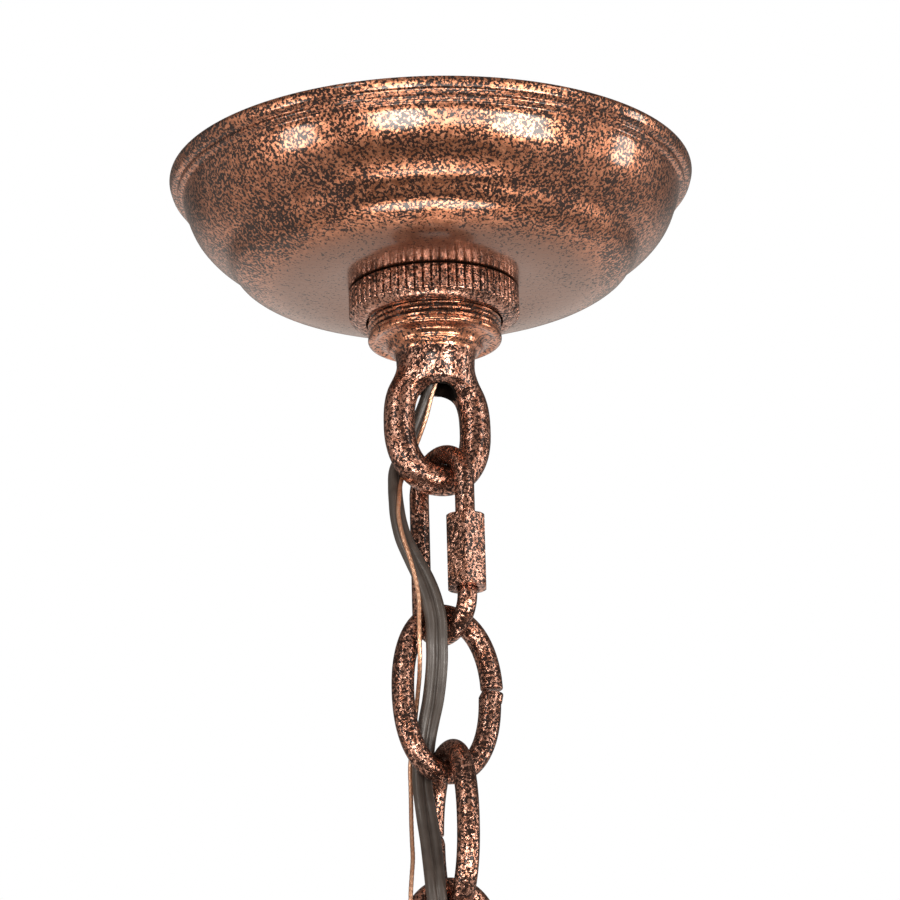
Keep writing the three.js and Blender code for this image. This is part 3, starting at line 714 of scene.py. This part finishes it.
def ring_shape():
    outline = rounded([
        (RING_BORE, RING_BOTTOM, 0.0002), (0.0177, RING_BOTTOM, 0.0003),
        (0.0192, RING_BOTTOM + 0.0006, 0.0006), (RING_RADIUS, RING_BOTTOM + 0.0018, 0.0003),
        (RING_RADIUS, RING_TOP - 0.0002, 0.0002), (0.0202, RING_TOP, 0.0002),
        (RING_BORE, RING_TOP, 0.0002),
    ])
    return lathe(outline, FLUTES * 12, fluted)


piece("ring", ring_shape(), "collar_ring", KNURL_COPPER, ["collar_ring"])


# ---------- ceiling loop and lantern loop ----------

THREAD_RADIUS = 0.0162
THREAD_PITCH = 0.00141
THREAD_DEPTH = 0.0007
FLANGE_TOP = -0.0419
COLLAR_TOP = -0.0210
CUP_BORE = 0.0124
CUP_FLOOR = -0.0340
WIRE_BORE = 0.0037
WIRE_BORE_ABOVE = 0.0052
COLLAR_BOTTOM = -0.0470

NECK_TOP = -0.0460
NECK_BOTTOM = -0.0545
NECK_FILLET = 0.0042
NECK_HEIGHTS = [-0.0560, -0.0520, -0.0490, -0.0466, -0.0440]
NECK_RADII = [0.0068, 0.0084, 0.0093, 0.0097, 0.0104]
HOLE_BOTTOM = -0.0620
HOLE_EDGE = 0.0008
FLARE = 0.0012
FLARE_TOP = -0.0540
FLARE_HEIGHT = 0.0045
# how far the painted shade reaches into the wire hole
BORE_SHADE_RADIUS = 0.0050
BORE_SHADE_HEIGHTS = (-0.0575, -0.040)

LOOP_WIRE = 0.00375
LOOP_HALF_WIDTH = 0.0098
LOOP_TOP = -0.0527
LOOP_BOTTOM = -0.07848
LOOP_FULLNESS = 2.2
LOOP_FULLNESS_ABOVE = 2.8

SEAT_BOTTOM = -0.0424
SEAT_TOP = -0.0464
SEAT_RADIUS = 0.0140

# the quick link, where it turns on the loop, and the angles at which it has worn the loop
QUICK_WIRE = 0.00235
QUICK_HALF_WIDTH = 0.0085
QUICK_TURN = math.radians(-90 + 18)
QUICK_SHIFT = 0.0007
QUICK_PIVOT_Y = 0.0003
QUICK_PIVOT_Z = -0.0784
WORN_AT = (-28, -24, 26, 30)
WORN_GAP = 0.00004


def helix(depth, pitch, bottom, top):
    """A shape function for lathe() that cuts a helical groove between two heights."""
    def shape(radius, height, angles):
        share = (height / pitch - angles / TURN) % 1
        groove = np.clip(1 - np.abs(share - 0.5) / 0.36, 0, 1)
        fade = np.clip(min(height - bottom, top - height) / (0.4 * pitch), 0, 1)
        return radius - depth * groove * fade
    return shape


def collar_shape():
    """The threaded collar, its flange and the hollow above the neck."""
    bottom, top = FLANGE_TOP + 0.0001, COLLAR_TOP - 0.0003
    steps = int((top - bottom) / 0.00014)
    flange = rounded([
        (WIRE_BORE, COLLAR_BOTTOM, 0), (0.0097, COLLAR_BOTTOM, 0), (0.0100, -0.0462, 0.0003),
        (0.0111, -0.0456, 0.0003), (0.0113, -0.0446, 0.0004), (0.0120, -0.0437, 0.0006),
        (0.0137, -0.0431, 0.0006), (0.0150, -0.0436, 0.0005), (0.0162, -0.0431, 0.0006),
        (0.0161, FLANGE_TOP, 0.0002),
    ])
    thread = [(THREAD_RADIUS - 0.0001, z) for z in np.linspace(bottom, top, steps)]
    hollow = rounded([
        (0.0154, COLLAR_TOP, 0.0002), (CUP_BORE, COLLAR_TOP, 0.0002), (CUP_BORE, CUP_FLOOR, 0.0006),
        (WIRE_BORE_ABOVE, CUP_FLOOR, 0.0003), (WIRE_BORE_ABOVE, -0.0393, 0), (WIRE_BORE, -0.0403, 0),
    ])
    return lathe([*flange, *thread, *hollow], 180, helix(THREAD_DEPTH, THREAD_PITCH, bottom, top))


def blended(a, b, size):
    """The union of two fields, with a fillet of about that size where they meet."""
    h = np.clip(0.5 + 0.5 * (b - a) / size, 0, 1)
    return b * (1 - h) + a * h - size * h * (1 - h)


def powered(values, power):
    """Each value's size raised to a power, its sign kept."""
    return np.sign(values) * np.abs(values) ** power


def loop_line():
    """The middle of the loop's wire: an oval that is squarer above than below."""
    middle = (LOOP_TOP + LOOP_BOTTOM) / 2
    high = (LOOP_TOP - LOOP_BOTTOM) / 2
    a = np.linspace(0, TURN, 73)[:-1] + TURN / 144
    power = 2 / np.where(np.sin(a) > 0, LOOP_FULLNESS_ABOVE, LOOP_FULLNESS)
    x = LOOP_HALF_WIDTH * powered(np.cos(a), power)
    z = middle + high * powered(np.sin(a), power)
    return np.stack([x, np.zeros(len(x)), z], axis=1)


def loop_wire(points):
    """A field that is negative inside the loop's wire."""
    line = loop_line()
    nearest = np.full(len(points), 1.0)
    for start, end in zip(line, np.roll(line, -1, axis=0)):
        d = end - start
        t = np.clip((points - start) @ d / (d @ d), 0, 1)
        nearest = np.minimum(nearest, ((points - start - t[:, None] * d) ** 2).sum(axis=1))
    return np.sqrt(nearest) - LOOP_WIRE


def swung_bend(points, degrees):
    """A field that is negative inside the quick link's upper bend, swung that far on its joint."""
    x, y, z = points.T - np.array([[QUICK_SHIFT], [QUICK_PIVOT_Y], [QUICK_PIVOT_Z]])
    y, z = rotated(y, z, -math.radians(degrees))
    along, across = rotated(x, y + QUICK_PIVOT_Y, -QUICK_TURN)
    height = z + QUICK_PIVOT_Z - (heights("quick_link")[1] - QUICK_WIRE - QUICK_HALF_WIDTH)
    return np.hypot(np.hypot(along, height) - QUICK_HALF_WIDTH, across) - QUICK_WIRE


def casting_field(points):
    """A field that is negative inside the neck and loop of a casting, with its hole for the wires."""
    across, z = np.hypot(points[:, 0], points[:, 1]), points[:, 2]
    neck = (across - np.interp(z, NECK_HEIGHTS, NECK_RADII)) * 0.95
    neck = np.maximum(neck, np.maximum(z - NECK_TOP, NECK_BOTTOM - z))
    solid = blended(loop_wire(points), neck, NECK_FILLET)
    for degrees in WORN_AT:
        solid = np.maximum(solid, WORN_GAP - swung_bend(points, degrees))
    flare = np.clip((FLARE_TOP - z) / FLARE_HEIGHT, 0, 1) * FLARE
    hole = np.maximum(across - (WIRE_BORE + flare), HOLE_BOTTOM - z)
    return -blended(-solid, hole, HOLE_EDGE)


def casting_shape():
    low = (-0.0145, -0.0110, LOOP_BOTTOM - LOOP_WIRE - 0.0008)
    high = (0.0145, 0.0110, NECK_TOP + 0.0008)
    return zero_surface(casting_field, low, high, 0.00036)


# the faces inside the wire hole, which get the painted shade
def in_shaded_bore(x, y, z):
    return math.hypot(x, y) < BORE_SHADE_RADIUS and BORE_SHADE_HEIGHTS[0] < z < BORE_SHADE_HEIGHTS[1]


def seat_shape():
    """The lantern loop's flat seat, drawn upside down like the casting that it belongs to."""
    return lathe(rounded([
        (WIRE_BORE, COLLAR_BOTTOM, 0), (0.0101, COLLAR_BOTTOM, 0), (0.0108, SEAT_TOP, 0.0006),
        (0.0132, SEAT_TOP, 0.0006), (SEAT_RADIUS, -0.0455, 0.0005), (SEAT_RADIUS, SEAT_BOTTOM, 0.0004),
        (WIRE_BORE_ABOVE, SEAT_BOTTOM, 0.0003), (WIRE_BORE_ABOVE, -0.0452, 0), (WIRE_BORE, -0.0458, 0),
    ]), 144)


def upside_down(shape, height):
    """The same shape turned over, a quarter turn about Z, and raised."""
    vertices, faces = shape
    return np.stack([vertices[:, 1], vertices[:, 0], height - vertices[:, 2]], axis=1), faces


def make_loops():
    """The ceiling loop, and the lantern loop, which is the same casting upside down on a seat."""
    casting = casting_shape()
    piece("ceiling_loop_collar", collar_shape(), "ceiling_fitting", THREAD_COPPER,
          ["ceiling_loop"])
    made = piece("ceiling_loop_casting", casting, "ceiling_fitting", CAST_COPPER, sharp=60)
    # painted shade inside the wire hole
    paint(made, BORE_PAINTED_SHADE, in_shaded_bore)
    lift = heights("lantern_loop")[0] + SEAT_BOTTOM
    piece("lantern_loop_casting", upside_down(casting, lift), "lantern_loop", CAST_COPPER,
          ["lantern_loop"], sharp=60)
    piece("lantern_loop_seat", upside_down(seat_shape(), lift), "lantern_loop", CAST_COPPER)


make_loops()


# ---------- quick link ----------

QUICK_GAP = (-0.1062, -0.0992)
SLEEVE_RADIUS = 0.00525
SLEEVE_TURN = math.radians(20)
SLEEVE_LOW = -0.1079
SLEEVE_HIGH = -0.0899


def arc(centre_z, radius, start, end, count):
    a = np.linspace(start, end, count)
    return np.stack([radius * np.cos(a), np.zeros(count), centre_z + radius * np.sin(a)], axis=1)


def leg(x, start, end):
    """The points between the ends of an upright line."""
    z = np.linspace(start, end, max(2, int(abs(end - start) / 0.0008)))[1:-1]
    return np.stack([np.full(len(z), x), np.zeros(len(z)), z], axis=1)


def quick_link_shape():
    """A long link of round wire with a gap in one leg."""
    low, high = heights("quick_link")
    upper = high - QUICK_WIRE - QUICK_HALF_WIDTH
    lower = low + QUICK_WIRE + QUICK_HALF_WIDTH
    right, left = QUICK_HALF_WIDTH, -QUICK_HALF_WIDTH
    line = np.concatenate([
        leg(right, QUICK_GAP[1], upper), arc(upper, right, 0, math.pi, 40), leg(left, upper, lower),
        arc(lower, right, math.pi, TURN, 40), leg(right, lower, QUICK_GAP[0]),
    ])
    return sweep(line, circle(QUICK_WIRE, 36), (0, 1, 0), end_round=0.0005)


def hexagon(angles):
    """A unit hexagon's radius at each angle, with a corner at zero, its corners slightly rounded."""
    from_flat = angles % (math.pi / 3) - math.pi / 6
    return np.minimum(math.cos(math.pi / 6) / np.cos(from_flat), 0.994)


def hexagonal(full, low, high, reach):
    """A shape function for lathe(): a hexagon round the bore, its corners turned down near its ends."""
    def shape(radius, height, angles):
        if radius < 0.75 * full:
            return radius
        near = min(height - low, high - height)
        cone = full * (0.90 + 0.10 * min(1, max(0, near / reach)))
        return np.minimum(full * hexagon(angles), cone)
    return shape


def nut_outline(bore, radius, low, high, steps):
    """A nut's outline, with a chamfered bore. steps are where it has points, measured from each end."""
    levels = [low + k for k in steps] + [high - k for k in steps[::-1]]
    start = [(bore, low + 0.0003), (bore + 0.0003, low)]
    end = [(bore + 0.0003, high), (bore, high - 0.0003)]
    return [*start, *((radius, z) for z in levels), *end]


def sleeve_shape():
    outline = nut_outline(QUICK_WIRE + 0.0002, SLEEVE_RADIUS, SLEEVE_LOW, SLEEVE_HIGH,
                          [0, 0.0002, 0.0005, 0.0009, 0.0014, 0.0020])
    return lathe(outline, 144, hexagonal(SLEEVE_RADIUS, SLEEVE_LOW, SLEEVE_HIGH, 0.0007))


def make_quick_link():
    near_leg = (QUICK_SHIFT + QUICK_HALF_WIDTH * math.cos(QUICK_TURN),
                QUICK_HALF_WIDTH * math.sin(QUICK_TURN), 0)
    piece("quick_link_wire", quick_link_shape(), "quick_link", WIRE_COPPER,
          ["quick_link"], turn=QUICK_TURN, at=(QUICK_SHIFT, 0, 0))
    piece("sleeve", sleeve_shape(), "quick_link_sleeve", WIRE_COPPER,
          ["quick_link_sleeve"], sharp=25, turn=QUICK_TURN + SLEEVE_TURN, at=near_leg)


make_quick_link()


# ---------- chain links ----------

LINK_WIRE = 0.0027
LINK_LEFT = 0.0105
LINK_RIGHT = 0.0116
LINK_RIGHT_ABOVE = 0.0122
LINK_POWER = 2 / 2.2
LINK_GAP = (0.00115, 0.00205)
LINK_TURNS = (0, 90, 180)
LINK_SHIFTS = (0, 0.0010, 0.0010)


def link_shape(half_height):
    """An open oval of round wire about the origin, its ends nearly meeting on its right."""
    first = math.asin((LINK_GAP[1] / half_height) ** (1 / LINK_POWER))
    last = TURN + math.asin((LINK_GAP[0] / half_height) ** (1 / LINK_POWER))
    a = np.linspace(first, last, 1200)
    c, s = np.cos(a), np.sin(a)
    right = np.where(s > 0, LINK_RIGHT_ABOVE, LINK_RIGHT)
    x = np.where(c < 0, LINK_LEFT, right) * powered(c, LINK_POWER)
    z = half_height * powered(s, LINK_POWER)
    line = np.stack([x, np.zeros(len(a)), z], axis=1)
    along = lengths_along(line)
    places = np.linspace(0, along[-1], 200)
    line = np.stack([np.interp(places, along, line[:, k]) for k in range(3)], axis=1)
    return sweep(line, circle(LINK_WIRE, 40), (0, 1, 0), end_round=0.0004)


for n, (degrees, shift) in enumerate(zip(LINK_TURNS, LINK_SHIFTS), 1):
    low, high = heights(f"chain_link_{n}")
    piece(f"link_{n}", link_shape((high - low) / 2 - LINK_WIRE), f"chain_link_{n}", WIRE_COPPER,
          [f"chain_link_{n}"], turn=math.radians(degrees),
          at=(shift, 0, (low + high) / 2))


# ---------- fittings inside the canopy ----------

BAR_THICKNESS = 0.0018
BAR_WIDTH = 0.0160
BAR_DROP = 0.0130
BAR_HALF_LENGTH = 0.0510
BAR_BENDS = (0.0193, 0.0313)
BAR_EDGE = 0.0004
SLOT_RADIUS = 0.0024
SLOT_REACH = 0.003
BOX_SCREW_X = 0.04445
GROUND_SCREW_X = 0.0150
NIPPLE_RADIUS = 0.0049
NIPPLE_BORE = 0.00375
NIPPLE_TOP = -0.0085
NIPPLE_BOTTOM = -0.0390
NUT_RADIUS = 0.0085
NUT_FIT = 0.0001
WASHER_RADIUS = 0.0080
WASHER_HOLE = 0.0052
TOOTH = 0.0011
SCREW_SLOT = 0.00045
LEAD_RADIUS = 0.0011
CONNECTOR_RIB = 0.0003

# x, the y that both leads share, how far each then lies to its own side, and z
LEAD_ROUTE = [
    (-0.0005, 0.0009, 0.00125, -0.0087), (-0.0014, 0.0006, 0.0020, -0.0064), (-0.0042, 0, 0.0044, -0.0048),
    (-0.0082, 0, 0.0086, -0.0056), (-0.0130, 0, 0.0130, -0.0088), (-0.0170, 0, 0.0170, -0.0119),
    (-0.0220, 0, 0.0220, -0.0130), (-0.0245, 0, 0.0245, -0.01335),
]


def stadium(x, radius, reach, bottom, top):
    """An upright cutter with round ends, for a slot along X, or a round hole where reach is 0."""
    outline = circle(radius, 48)
    outline[:, 0] += x + np.sign(outline[:, 0]) * reach
    return tube([np.column_stack([outline, np.full(48, z)]) for z in (bottom, top)])


def mounting_bar():
    """A strip bent down to a shelf in its middle, with slots for the box screws and two round holes."""
    half, thick = BAR_WIDTH / 2, BAR_THICKNESS / 2
    inner, outer = BAR_BENDS
    right = [(inner, -BAR_DROP - thick, 0.004), (outer, -thick, 0.004), (BAR_HALF_LENGTH, -thick, 0)]
    left = [(-x, z, size) for x, z, size in right[::-1]]
    line = [(x, 0, z) for x, z in rounded([*left, *right], 9)]
    corners = ((-half, -thick), (half, -thick), (half, thick), (-half, thick))
    section = rounded([(*corner, BAR_EDGE) for corner in corners], 4)
    bar = piece("bar", sweep(line, section, (0, 1, 0)), "ceiling_fitting", RAW_STEEL,
                ["mounting_bar"])
    slots = [stadium(side * BOX_SCREW_X, SLOT_RADIUS, SLOT_REACH, -0.004, 0.002) for side in (-1, 1)]
    holes = [stadium(x, radius, 0, -0.017, -0.011)
             for x, radius in ((0, NIPPLE_RADIUS + 0.0003), (GROUND_SCREW_X, 0.00175))]
    cut(bar, *slots, *holes)


def nipple_shape():
    steps = int((NIPPLE_TOP - NIPPLE_BOTTOM) / 0.00016)
    thread = [(NIPPLE_RADIUS, z) for z in np.linspace(NIPPLE_BOTTOM, NIPPLE_TOP, steps)]
    bore = [(NIPPLE_BORE + 0.0002, NIPPLE_TOP), (NIPPLE_BORE, NIPPLE_TOP - 0.0002),
            (NIPPLE_BORE, NIPPLE_BOTTOM + 0.0002), (NIPPLE_BORE + 0.0002, NIPPLE_BOTTOM)]
    return lathe([*thread, *bore], 72, helix(0.00042, 0.001, NIPPLE_BOTTOM, NIPPLE_TOP))


def nut_shape(low, high):
    outline = nut_outline(NIPPLE_RADIUS + NUT_FIT, NUT_RADIUS, low, high, [0, 0.0003, 0.0007, 0.0012])
    return lathe(outline, 96, hexagonal(NUT_RADIUS, low, high, 0.0006))


def toothed(radius, height, angles):
    """Twelve teeth round a lock washer's hole."""
    if radius > WASHER_RADIUS - 0.0020:
        return radius
    return radius + TOOTH * (0.5 - 0.5 * np.sign(np.cos(12 * angles)))


def washer_shape():
    low, high = heights("lock_washer")
    outline = rounded([(WASHER_HOLE, low, 0.0001), (WASHER_RADIUS, low, 0.0002),
                       (WASHER_RADIUS, high, 0.0002), (WASHER_HOLE, high, 0.0001)], 4)
    return lathe(outline, 192, toothed)


def fasteners():
    piece("nipple", nipple_shape(), "ceiling_fitting", RAW_STEEL, ["threaded_nipple"])
    for name in ("bar_locknut", "jam_nut"):
        low, high = heights(name)
        piece(f"{name}_hex", nut_shape(low, high), "ceiling_fitting", BRASS, [name], sharp=25)
    piece("toothed_washer", washer_shape(), "ceiling_fitting", RAW_STEEL,
          ["lock_washer"], sharp=30)


def screw(name, x, head, shank, tip, material):
    """
    A slotted round-headed machine screw. head is its radius, then the heights under it, of its edge and of
    its crown, shank the radius and pitch of the thread, and tip the height where it ends.
    """
    radius, seat, edge, crown = head
    shaft, pitch = shank
    low, high = min(seat, tip), max(seat, tip)
    steps = int((high - low) / (pitch / 6))
    end = tip + (tip - seat) * 0.02
    dome = [(radius * math.cos(a), edge + (crown - edge) * math.sin(a)) for a in np.linspace(1.4, 0, 7)]
    thread = [(shaft, z) for z in np.linspace(seat, tip, steps)]
    outline = [(0.00003, crown), *dome, (radius, seat), *thread, (shaft * 0.6, end), (0.00003, end)]
    made = piece(f"{name}_turned", lathe(outline, 48, helix(pitch * 0.55, pitch, low, high)),
                 "ceiling_fitting", material, [name], at=(x, 0, 0))
    cut(made, block((x - SCREW_SLOT, -0.006, crown - 0.001), (x + SCREW_SLOT, 0.006, crown + 0.001)))


def ribbed(radius, height, angles):
    """Eighteen ribs along the outside of a wire connector."""
    if radius < 0.0023 or not 0.0025 < height < 0.0155:
        return radius
    return radius - CONNECTOR_RIB * (0.5 - 0.5 * np.cos(18 * angles)) ** 2


def connector_shape():
    """A hollow ribbed cone up the Z axis, open at its wide lower end."""
    outer = smooth_line([(0.0044, 0.0002), (0.0047, 0.0012), (0.0048, 0.0030), (0.0045, 0.0062),
                         (0.0036, 0.0110), (0.0025, 0.0152)], 0.0005)
    tip = [(0.0021, 0.0164), (0.0012, 0.0169), (0.0003, 0.0170)]
    bore = [(0.0003, 0.0156), (0.0008, 0.0155), (0.0016, 0.0140), (0.0016, 0.0006), (0.0022, 0)]
    return lathe([*outer, *tip, *bore], 216, ribbed)


def leads_and_connectors():
    """The cord's two conductors part above the nipple and end in screw-on wire connectors."""
    for side, word in ((1, "line"), (-1, "neutral")):
        line = smooth_line([(x, y + side * aside, z) for x, y, aside, z in LEAD_ROUTE], LINE_STEP)
        piece(f"{word}_conductor", sweep(line, circle(LEAD_RADIUS, 20), (0, 0, 1), end_round=0.0002),
              "ceiling_fitting", CORD_GREY, [f"{word}_lead"])
        way = Vector((-1, side, -0.15)).normalized()
        start = np.array((-0.0220, side * 0.0220, -0.0130)) + 0.0003 * np.array(way)
        piece(f"{word}_cap", pointed(connector_shape(), start, way), "ceiling_fitting", ORANGE,
              [f"{word}_connector"])


mounting_bar()
fasteners()
for side, word in ((-1, "left"), (1, "right")):
    screw(f"box_screw_{word}", side * BOX_SCREW_X, (0.0039, -0.0021, -0.0036, -0.0047),
          (0.00195, 0.00079), 0.0085, RAW_STEEL)
screw("ground_screw", GROUND_SCREW_X, (0.0036, -0.0113, -0.0099, -0.0090),
      (0.00145, 0.00079), -0.0184, GREEN)
leads_and_connectors()


# ---------- light, backdrop and floor ----------

FLOOR_HEIGHT = -2.2
FLOOR_HALF = 6.0
LIGHT_COLOUR = (1.0, 0.94, 0.88)
LIGHT_TARGET = Vector((0, 0, -0.05))

# name, azimuth and elevation as way_from() takes them, distance, width, height and power
SOFTBOXES = [
    ("key", 44, -17, 1.6, 0.80, 0.50, 13),
    ("key_left", -14, -15, 1.6, 0.60, 0.40, 6),
    ("front", 5, -14, 1.7, 2.4, 0.26, 8),
    ("high_right", 58, 20, 1.6, 0.45, 0.6, 3.2),
    ("high_left", -34, 21, 1.6, 0.35, 0.6, 4),
    ("left", -62, -13, 1.7, 0.55, 0.45, 5),
    ("edge", 98, -5, 1.6, 0.35, 0.7, 4),
    ("below", 180, -88, 1.0, 0.65, 0.36, 4),
]

# what the part reflects where there is no light: azimuth and elevation, spread in degrees, and grey
STUDIO_GREY = 0.16
STUDIO_TINT = (1.0, 0.90, 0.83)
STUDIO_PATCHES = [
    (90, -20, 36, 0.50), (-90, -20, 36, 0.50), (0, 50, 34, 0.40), (0, -48, 30, 0.07),
    (180, -27, 34, 0.75), (0, -90, 12, 0.60),
]


def make_floor():
    n = new_material("floor")
    n.set(Base_Color=n.mix(n.ramp(n.noise(0.4), 0.3, 0.7), (0.86, 0.86, 0.85), (0.90, 0.90, 0.89)))
    n.set(Roughness=0.7, Emission_Color=(1.0, 1.0, 1.0), Emission_Strength=0.4)
    mesh = bpy.data.meshes.new("floor")
    h = FLOOR_HALF
    mesh.from_pydata([(-h, -h, 0), (h, -h, 0), (h, h, 0), (-h, h, 0)], [], [(0, 1, 2, 3)])
    mesh.materials.append(n.owner)
    floor = add_object("floor", mesh)
    floor.location.z = FLOOR_HEIGHT
    floor.visible_glossy = False


def way_from(azimuth, elevation):
    """The direction at an azimuth from the camera's side, to its right, and an elevation, in degrees."""
    a, e = math.radians(azimuth), math.radians(elevation)
    return (TO_RIGHT * math.sin(a) - TO_BACK * math.cos(a)) * math.cos(e) + UP * math.sin(e)


def softbox(name, azimuth, elevation, distance, width, height, power):
    """A soft light that lies that way from the part and is aimed at it."""
    way = way_from(azimuth, elevation)
    data = bpy.data.lights.new(name, "AREA")
    data.shape = "ELLIPSE"
    data.size = width
    data.size_y = height
    data.energy = power
    data.color = LIGHT_COLOUR
    light = add_object(name, data)
    light.location = LIGHT_TARGET + way * distance
    light.rotation_mode = "QUATERNION"
    light.rotation_quaternion = way.to_track_quat("Z", "Y")
    light.visible_camera = False


def make_world():
    """White to look at, and a studio in greys to reflect."""
    world = bpy.data.worlds.new("studio")
    SCENE.world = world
    n = Nodes(world)
    n.tree.nodes.clear()
    direction = n.add("ShaderNodeTexCoord").outputs["Generated"]
    level = STUDIO_GREY
    for azimuth, elevation, spread, grey in STUDIO_PATCHES:
        dot = n.add("ShaderNodeVectorMath", operation="DOT_PRODUCT")
        n.feed(dot.inputs[0], direction)
        n.feed(dot.inputs[1], way_from(azimuth, elevation))
        edge, full = (math.cos(math.radians(k * spread)) for k in (1.5, 0.5))
        near = n.ramp(dot.outputs["Value"], edge, full)
        level = n.add("ShaderNodeMix", Factor=near, A=level, B=grey).outputs["Result"]
    tint = n.add("ShaderNodeVectorMath", operation="SCALE", Scale=level)
    n.feed(tint.inputs[0], STUDIO_TINT)
    studio = n.add("ShaderNodeBackground", Color=tint.outputs[0])
    paper = n.add("ShaderNodeBackground", Color=(1, 1, 1))
    seen = n.add("ShaderNodeLightPath").outputs["Is Camera Ray"]
    join = n.add("ShaderNodeMixShader", Fac=seen)
    n.feed(join.inputs[1], studio.outputs[0])
    n.feed(join.inputs[2], paper.outputs[0])
    n.add("ShaderNodeOutputWorld", Surface=join.outputs[0])


make_floor()
make_world()
for settings in SOFTBOXES:
    softbox(*settings)
SCENE.view_settings.view_transform = "Standard"
